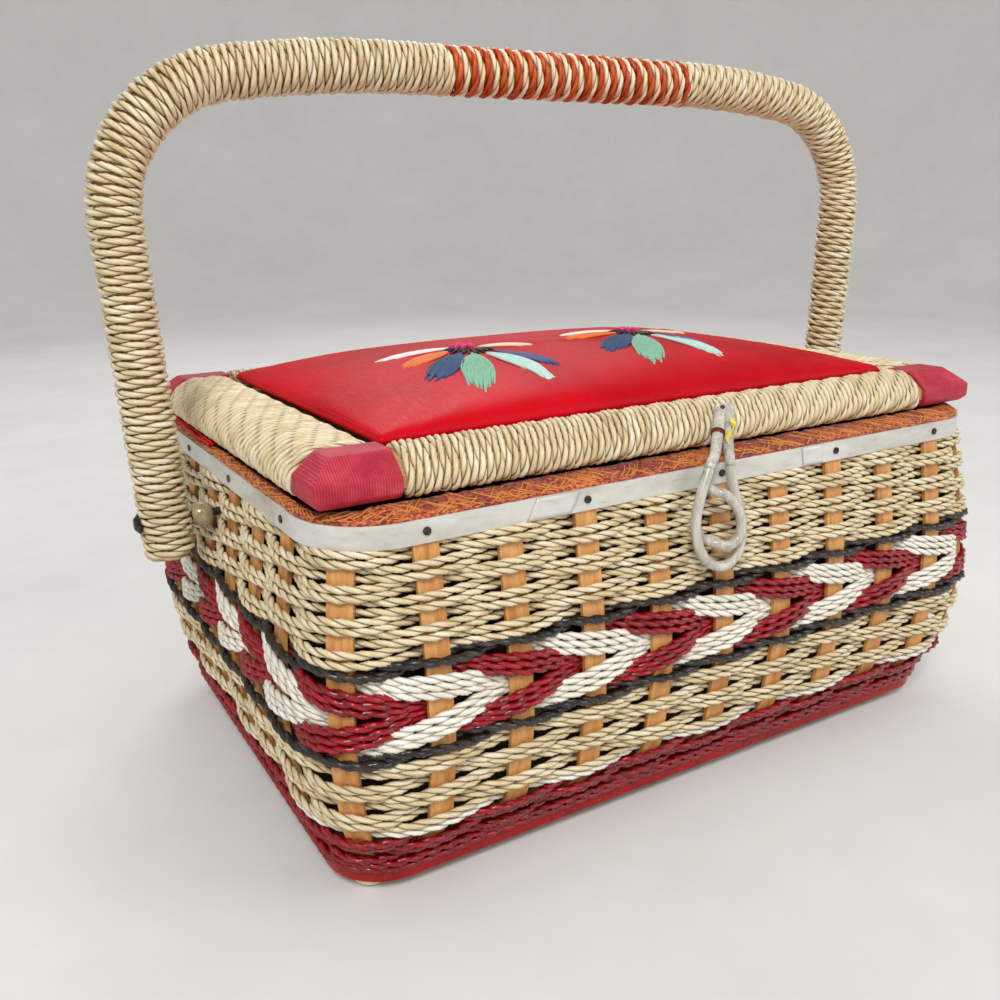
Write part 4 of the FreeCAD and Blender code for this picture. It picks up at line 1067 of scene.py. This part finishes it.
def inflate(obj, held_below):
    """Cloth under pressure; what lies below stays, and no point moves past the cap."""
    before = coords(obj.data)
    held = obj.vertex_groups.new(name="held")
    held.add([int(i) for i in np.flatnonzero(before[:, 2] < held_below)], 1.0, "REPLACE")
    cloth = obj.modifiers.new("cloth", "CLOTH")
    cloth.settings.quality = 6
    cloth.settings.use_pressure = True
    cloth.settings.uniform_pressure_force = PAD_PRESSURE
    cloth.settings.vertex_group_mass = held.name
    cloth.settings.effector_weights.gravity = 0
    cloth.point_cache.frame_start = 1
    cloth.point_cache.frame_end = PAD_FRAMES
    for number in range(1, PAD_FRAMES + 1):
        bpy.context.scene.frame_set(number)
    graph = bpy.context.evaluated_depsgraph_get()
    swollen = obj.evaluated_get(graph).to_mesh()
    move = coords(swollen) - before
    obj.evaluated_get(graph).to_mesh_clear()
    obj.modifiers.clear()
    bpy.context.scene.frame_set(1)
    length = np.linalg.norm(move, axis=1, keepdims=True)
    set_coords(obj.data, before + move * np.minimum(1, PAD_CAP / np.maximum(length, 1e-9)))


pad = piece("satin_pad", "lid", "red_satin", RED_SATIN, *pad_shape())
inflate(pad, PAD_EDGE + PAD_HELD)
soft = pad.modifiers.new("soft", "SUBSURF")
soft.levels = soft.render_levels = 2
settle(pad)
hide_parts("lid_pad")

# Embroidery on the pad: fans of long stitches round a few knots
PAD_TREE = BVHTree.FromPolygons(
    [vertex.co.copy() for vertex in pad.data.vertices],
    [tuple(polygon.vertices) for polygon in pad.data.polygons],
)
THREAD = 0.5
STITCH_POINTS = 14
KNOT = 0.55
FLOWERS = (("left", (-40.0, 8.5), 500), ("right", (53.0, 15.0), 550))
# Each colour's petal on the left and on the right flower: base, tip and half width
PETALS = {
    "white": (((-42, 13), (-80, 9), 2.4), ((50, 19), (14, 14), 2.2)),
    "orange": (((-47, 6), (-78, -14), 4.6), ((45, 11), (8, 2), 4.4)),
    "navy": (((-45, -1), (-80, -43), 6.4), ((46, 5), (3, -38), 6.4)),
    "mint": (((-42, -4), (-71, -63), 6.4), ((49, 2), (9, -60), 6.2)),
    "pale_mint": (((-38, -6), (-41, -64), 4.2), ((54, 0), (44, -61), 4.2)),
    "violet": (((-34, -6), (-29, -50), 3.0), ((58, 2), (51, -45), 3.0)),
    "cream": (((-34, 8), (-11, -4), 2.6), ((58, 13), (77, 0), 2.6)),
}


def on_pad(x, y, lift):
    """Places on the pad's top, raised by lift."""
    points = []
    for px, py, raised in zip(x, y, np.broadcast_to(lift, np.shape(x))):
        hit = PAD_TREE.ray_cast(Vector((px * MM, py * MM, 1.0)), Vector((0, 0, -1)))[0]
        points.append((px, py, hit.z / MM + raised))
    return np.array(points)


def stitch(strands, first, last, bow, thick=THREAD):
    """One long stitch that goes into the satin at both ends; bow is its sideways swell."""
    share = np.linspace(0, 1, STITCH_POINTS)
    way = np.subtract(last, first)
    side = np.array([-way[1], way[0]]) / np.linalg.norm(way)
    swell = bow * np.sin(math.pi * share) ** 0.8
    x = first[0] + way[0] * share + side[0] * swell
    y = first[1] + way[1] * share + side[1] * swell
    lift = thick * (1.5 * np.sin(math.pi * share) ** 0.3 - 0.5)
    strands.plain(on_pad(x, y, lift), UP, thick, THREAD_ROUND, 2.0)


def petal(strands, base, tip, width):
    """A leaf of stitches side by side, ragged at the tip."""
    way = np.subtract(tip, base)
    length = np.linalg.norm(way)
    ahead = way / length
    side = np.array([-ahead[1], ahead[0]])
    count = int(2 * width / (1.5 * THREAD))
    for share in np.linspace(-1, 1, count):
        begin = 0.1 * abs(share) + strands.random.uniform(0, 0.05)
        end = 1 - 0.14 * share**2 + strands.random.uniform(-0.12, 0.04)
        first = base + ahead * length * begin + side * share * 1.2
        last = base + ahead * length * end + side * share * width * 0.75
        stitch(strands, first, last, share * width * 0.4)


def knots(strands, centre, count=13):
    """Small raised knots in a cluster."""
    for index in range(count):
        angle = index * 2.4
        reach = 1.5 * math.sqrt(index)
        x, y = centre[0] + reach * math.cos(angle), centre[1] + reach * math.sin(angle)
        turn = np.linspace(0, 4 * math.pi, 25)
        line = on_pad(x + 0.75 * np.cos(turn), y + 0.75 * np.sin(turn), 0.4 + 0.1 * turn)
        strands.plain(line, UP, KNOT, THREAD_ROUND, 0.7)


def flower(label, centre, seed, petals):
    for number, (colour, (base, tip, width)) in enumerate(zip(PETALS, petals)):
        strands = Strands(seed + number)
        petal(strands, base, tip, width)
        strands.make(f"{label}_petal_{colour}", "lid", "red_satin", THREADS[colour])
    strands = Strands(seed + 20)
    knots(strands, centre)
    strands.make(f"{label}_knots", "lid", "red_satin", THREADS["pink"])
    strands = Strands(seed + 21)
    for base, tip, _ in petals[1:6]:
        way = 0.2 * np.subtract(tip, base)
        side = np.array([-way[1], way[0]]) / np.linalg.norm(way)
        for share in (-1.4, 0.0, 1.4):
            root = np.add(centre, base) / 2 + side * share
            stitch(strands, root, root + way + side * share, 0.3, 0.6)
    strands.make(f"{label}_dark_stitches", "lid", "red_satin", THREADS["black"])


for number, placed in enumerate(FLOWERS):
    flower(*placed, [pair[number] for pair in PETALS.values()])

# Lining: satin tub on a dark backing that darkens the gaps between the cords, a stretched sheet under
# the lid, brocade edge on the rim
LINING_X, LINING_Y, LINING_BOTTOM, LINING_TOP = half_sizes("basket_lining")
LINING_RADIUS = RIM_RADIUS - 7.2
LINING_TAPER = 19.5
LINING_FOOT_IN = (10.0, 14.5)
LINING_CLOTH = 0.5
LINING_INSET, LINING_RUMPLE, HEM = 0.9, 0.8, 0.4
BACKING_INSET, BACKING_LAP = -0.3, 2.0
LID_GRID = (81, 121)
TUB_COUNT = 420
TUB_FOLDS = (29, 43, 61)
TUB_FLOOR = (0.1, 0.4, 0.7, 0.9, 0.97)


def tub_ring(z, inset, rumple):
    """One level of the tub, drawn in towards its foot."""
    foot = np.clip(1 - (z - LINING_BOTTOM) / LINING_TAPER, 0, 1)
    a = LINING_X - inset - LINING_RADIUS - foot * LINING_FOOT_IN[0]
    b = LINING_Y - inset - LINING_RADIUS - foot * LINING_FOOT_IN[1]
    x, y, _ = box_loop(TUB_COUNT, a, b, LINING_RADIUS, LINING_RADIUS - rumple)
    return np.stack([x, y, np.full(TUB_COUNT, z)], axis=1)


def tub(name, slot, material, inset, top, rumple, rings=26):
    """Open tub of cloth, or of the dark backing, with a closed floor."""
    random = np.random.default_rng(600)
    share = np.linspace(0, 1, TUB_COUNT, endpoint=False)
    folds = ripples(random, share, TUB_FOLDS)
    levels = np.linspace(LINING_BOTTOM + 0.6 - min(inset, 0), top, rings)
    walls = []
    for z in levels:
        rise = (z - levels[0]) / (levels[-1] - levels[0])
        walls.append(tub_ring(z, inset, rumple * (0.5 + 0.5 * folds) * (0.3 + 0.7 * rise)))
    floor = [walls[0] * [shrink, shrink, 1] for shrink in TUB_FLOOR]
    verts = floor + walls
    faces = grid_faces(len(verts), TUB_COUNT, True)
    middle = np.arange(TUB_COUNT)[::-1]
    made = piece(name, "basket", slot, material, np.concatenate(verts), faces, [middle])
    return thicken(made, LINING_CLOTH)


lining = tub("satin_lining", "red_lining", LINING_SATIN, LINING_INSET, LINING_TOP - HEM, LINING_RUMPLE)
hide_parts("basket_lining")
# dark backing just inside the stakes; through the gaps between the cords it shows dark
tub("dark_backing", "board_wood", DARK_BACKING, BACKING_INSET, RIM_BOTTOM + BACKING_LAP, 0.0)


def lid_sheet():
    """Satin stretched under the lid board, with shallow puckers."""
    half_x, half_y, bottom, _ = half_sizes("lid_lining")
    rows, columns = LID_GRID
    x, y = np.meshgrid(np.linspace(-half_x, half_x, columns), np.linspace(-half_y, half_y, rows))
    edge = np.minimum(half_x - np.abs(x), half_y - np.abs(y))
    pucker = np.sin(x / 4.3) * np.exp(-edge / 14) + 0.5 * np.sin(x / 31 + 1) * np.cos(y / 23)
    verts = np.stack([x, y, bottom + 0.55 + 0.3 * pucker], axis=-1).reshape(-1, 3)
    faces = grid_faces(rows, columns)[:, ::-1]
    made = piece("lid_satin", "lid", "red_lining", LINING_SATIN, verts, faces)
    thicken(made, LINING_CLOTH)
    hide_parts("lid_lining")


lid_sheet()

EDGE_COUNT = 900
EDGE_RIPPLES = (17, 41, 73, 131, 190)
EDGE_RUMPLE = 0.35
EDGE_LOW, EDGE_HIGH = 0.7, 4.6
EDGE_FRONT = 13.0
EDGE_RISE = 3.3
EDGE_CREST = 3.4
EDGE_SECTION = (
    (0.0, -0.2), (-0.03, 0.25), (0.06, 0.5), (0.18, 0.66), (0.36, 0.82), (0.6, 0.96), (0.85, 1.0),
    (1.0, 0.7), (0.98, 0.2), (0.9, -0.1), (0.5, -0.2),
)


def brocade_edge():
    """Folded edge of the lining on the rim, rumpled, wider in front where the lid sits back."""
    random = np.random.default_rng(610)
    share = np.linspace(0, 1, EDGE_COUNT, endpoint=False)
    rough = ripples(random, share, EDGE_RIPPLES)
    _, _, out = rim_loop(EDGE_COUNT, 0.0)
    front = np.clip(-out[:, 1], 0, 1) ** 2
    left = np.clip(-out[:, 0], 0, 1) ** 2
    width = EDGE_HIGH - EDGE_LOW + (EDGE_FRONT - EDGE_HIGH) * front
    rise = EDGE_RISE * (0.9 + 0.16 * rough) * (1 - 0.35 * left)
    rings = []
    for across, up in EDGE_SECTION:
        wave = EDGE_RUMPLE * rough * np.sin(9 * across + 40 * math.pi * share)
        inset = EDGE_LOW + across * width + (EDGE_RUMPLE * rough if across < 0.5 else 0)
        x, y, _ = rim_loop(EDGE_COUNT, inset)
        z = RIM_TOP + np.minimum(up * rise + wave * (up > 0), EDGE_CREST)
        rings.append(np.stack([x, y, z], axis=1))
    sides = len(EDGE_SECTION)
    faces = grid_faces(EDGE_COUNT + 1, sides, True) % (EDGE_COUNT * sides)
    surface = np.stack(rings, axis=1)
    made = piece("brocade_edge", "basket", "gold_trim", BROCADE, surface.reshape(-1, 3), faces)
    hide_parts("lining_trim")
    return surface, out


GOLD_THREAD, FRAYED_THREAD = (0.3, 0.22), (0.24, 0.12)
FRAYED_COUNT = 260


def gold_threads(surface, out):
    """Gold threads across the brocade, some of them frayed off its outer edge."""
    strands = Strands(620)
    pick = strands.random
    for index in range(0, EDGE_COUNT, 2):
        run = index + pick.integers(-1, 2) + np.arange(4) * pick.choice((-2, 2))
        first = pick.integers(1, 4)
        line = surface[run % EDGE_COUNT, first + np.arange(4)] + (0, 0, 0.12)
        strands.plain(smooth_line(line, 4), UP, GOLD_THREAD, THREAD_ROUND, 1.0)
    for index in pick.choice(EDGE_COUNT, FRAYED_COUNT, replace=False):
        root = surface[index, 2]
        away = out[index] * pick.uniform(0.4, 1.6)
        along = np.array([-out[index][1], out[index][0], 0]) * pick.uniform(-4, 4)
        rise = (0, 0, pick.uniform(-0.8, 0.6))
        line = smooth_line([root, root + away * 0.6 + along * 0.5 + rise, root + away + along], 4)
        strands.plain(line, UP, FRAYED_THREAD, THREAD_ROUND, 1.0)
    strands.make("gold_threads", "basket", "gold_trim", THREADS["gold"])


gold_threads(*brocade_edge())


# Fold of the lid's satin: three rolls, each with its place in from the bar, rise and radius
ROLLS = ((0.9, -0.75, 0.7), (2.3, -0.6, 0.8), (3.9, -0.7, 0.75))
ROLL_START, ROLL_END = 95, 12


def satin_fold():
    """Edge of the lid's satin that shows under the left bar."""
    low, high = node_box("left_bar_wrap")
    strands = Strands(630)
    y = np.linspace(low[1] + ROLL_START, high[1] + ROLL_END, 60)
    for number, (x, z, radius) in enumerate(ROLLS):
        wave = 0.25 * np.sin(y / 7 + number * 2) + 0.15 * np.sin(y / 2.9 + number)
        line = np.stack([low[0] + x + wave, y, low[2] + z + 0.3 * wave], axis=1)
        strands.plain(line, UP, radius, ROUND, 1.5)
    strands.make("lid_satin_fold", "lid", "red_lining", LINING_SATIN)


satin_fold()

# Latch: a bent vinyl tube, tacked on the front bar, whose loop goes over a hook of like tube
LATCH_TUBE = 1.85
CATCH_TUBE = 1.8
LEFT_END = (
    (5.0, -101.5, 150.9), (2.2, -104.8, 147.2), (-0.9, -107.6, 143.6), (-3.6, -110.0, 140.4),
    (-7.0, -112.9, 137.3), (-10.4, -114.7, 134.85), (-11.2, -115.0, 133.6),
)
RIGHT_END = (
    (9.3, -101.5, 151.3), (6.7, -104.8, 146.8), (3.9, -107.6, 142.4), (1.6, -110.4, 139.0),
    (-0.2, -113.0, 136.6), (-1.4, -114.7, 134.85), (-1.6, -115.1, 133.6),
)
LOOP_ROUTE = (
    (-9.8, -114.4, 135.8), (-10.4, -114.7, 134.85), (-13.4, -115.6, 129.6), (-16.0, -116.5, 124.2),
    (-17.9, -117.0, 118.6), (-18.3, -117.5, 113.0), (-16.8, -118.0, 106.4), (-13.2, -118.3, 101.2),
    (-8.5, -118.4, 98.4), (-3.8, -118.4, 98.2), (0.2, -118.3, 100.9), (2.6, -118.0, 105.6),
    (3.0, -117.5, 111.2), (1.8, -116.7, 118.2), (-0.2, -115.8, 125.4), (-1.2, -115.2, 131.0),
    (-1.4, -114.7, 134.85), (-1.2, -114.5, 135.8),
)
CATCH_ROUTE = (
    (-11.0, -112.0, 126.2), (-11.0, -118.0, 126.4), (-8.9, -121.0, 125.4), (-4.5, -121.4, 121.4),
    (-1.0, -121.5, 114.8), (-1.9, -121.4, 108.8), (-6.0, -121.0, 106.4), (-10.0, -120.0, 107.4),
    (-12.2, -116.5, 108.2), (-12.4, -112.0, 108.4),
)
TACK_OUT = unit(np.array([0.0, -0.66, 0.75]))
TACK = np.add(LEFT_END[0], (-0.6, -0.7, -0.9))
BIND = np.array(LEFT_END[2])
BIND_ALONG = unit(np.subtract(LEFT_END[1], LEFT_END[3]))
BIND_TURNS, BIND_LENGTH, BIND_WIRE = 3, 1.8, 0.32
SCRAP_MIDDLE = np.array([2.6, -107.8, 143.6])
SCRAP_POINTS, SCRAP_FILM = 40, 0.3


def vinyl(name, body, node, seed, radius, *routes):
    strands = Strands(seed)
    for route in routes:
        strands.plain(smooth_line(route), (0.3, -0.9, 0.1), radius, FINE_ROUND)
    strands.make(name, body, "grey_vinyl", VINYL, node)


vinyl("latch_tube", "latch", "latch_loop", 700, LATCH_TUBE, LOOP_ROUTE)
vinyl("latch_tube_ends", "lid", "latch_tab", 701, (LATCH_TUBE + 0.3, LATCH_TUBE), LEFT_END, RIGHT_END)
vinyl("catch_tube", "basket", "catch_loop", 702, CATCH_TUBE, CATCH_ROUTE)

tack = Strands(703)
head = np.array([TACK + TACK_OUT * d for d in (0.5, 2.1, 2.6)])
tack.plain(head, (1.0, 0.0, 0.0), (1.1, 0.8), FINE_ROUND, 0.3)
tack.make("latch_tack_head", "lid", "dark_nail", DARK_NAIL, "latch_tack")


def binding():
    """Copper wire wound three times round the left tube end."""
    strands = Strands(704)
    turn = np.linspace(0, 2 * BIND_TURNS * math.pi, 120)
    side = unit(np.cross(BIND_ALONG, [0.0, -0.8, -0.6]))
    front = np.cross(side, BIND_ALONG)
    ring = np.outer(np.cos(turn), side) + np.outer(np.sin(turn), front)
    slide = turn / turn[-1] * BIND_LENGTH - BIND_LENGTH / 2
    line = BIND + (LATCH_TUBE + 0.35) * ring + np.outer(slide, BIND_ALONG)
    strands.plain(line, BIND_ALONG, BIND_WIRE, THREAD_ROUND, 0.5)
    strands.make("latch_wire", "lid", "brass", COPPER)


binding()


def scrap():
    """Twisted scrap of yellow film caught between the tube ends."""
    share = np.linspace(0, 1, SCRAP_POINTS)
    turn = 5.2 * share
    sway = [1.0 * np.sin(7 * share), -2.6 - 0.7 * np.sin(5 * share), 5.0 - 10.0 * share]
    side = np.stack([np.cos(turn), -0.6 * np.abs(np.sin(turn)), 0.5 * np.sin(turn)], axis=1)
    wide = (1.6 * np.sin(math.pi * (0.08 + 0.84 * share)))[:, None]
    spine = SCRAP_MIDDLE + np.stack(sway, axis=1) + np.outer(share - 0.5, [-2.5, -4.0, 0])
    verts = np.stack([spine - side * wide, spine, spine + side * wide], axis=1).reshape(-1, 3)
    made = piece("yellow_scrap", "lid", "grey_vinyl", YELLOW_SCRAP, verts, grid_faces(SCRAP_POINTS, 3))
    thicken(made, SCRAP_FILM, -1.0)


scrap()

# Rim splices, where the grey band's ends lap: place along the front, length and slant
SPLICES = ((-64.0, 16.0, 4.0), (50.5, 10.0, -1.5))
SPLICE_GRID = (6, 14)
SPLICE_SPAN = (0.03, 0.97)
SPLICE_SEAT, SPLICE_LIFT, SPLICE_FILM = 0.25, 0.5, 0.45


def rim_splice(number, x, length, slant):
    """Lapped end of the band at x, on the front, with a slanted edge that lifts."""
    rows, columns = SPLICE_GRID
    lift = SPLICE_SEAT + SPLICE_LIFT * np.linspace(0, 1, columns) ** 6
    lines = []
    for up in np.linspace(*SPLICE_SPAN, rows):
        z = RIM_BOTTOM + up * (RIM_TOP - RIM_BOTTOM)
        along = np.linspace(-length + slant * (up - 0.5), slant * (up - 0.5), columns)
        lines.append(np.stack([x + along, -RIM_Y - lift, np.full(columns, z)], axis=1))
    verts, faces = np.concatenate(lines), grid_faces(rows, columns)
    made = piece(f"rim_splice_{number}", "basket", "grey_band", RIM_PLASTIC, verts, faces)
    thicken(made, SPLICE_FILM)


for number, splice in enumerate(SPLICES, 1):
    rim_splice(number, *splice)

# Finish of the frame's own pieces
FINISHES = {
    STAKE_WOOD: "front_stakes rear_stakes left_stakes right_stakes corner_stakes",
    BOARD_WOOD: "base_board lid_board rim_hoop pivot_blocks handle_core"
    " front_bar_core rear_bar_core left_bar_core right_bar_core",
    RED_PAINT: "base_band",
    RIM_PLASTIC: "rim_band",
    DARK_NAIL: "rim_nails foot_nails pivot_pins",
    PAINTED_NAIL: "base_nails",
    IVORY: "feet",
    BEAD_LACQUER: "pivot_beads",
    BRASS: "hinge_rim_leaves hinge_lid_leaves hinge_pins",
}
for material, names in FINISHES.items():
    for name in names.split():
        nodes[name].data.materials.clear()
        nodes[name].data.materials.append(material)

# Box round everything shown, with the backdrop left out
low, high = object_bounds()
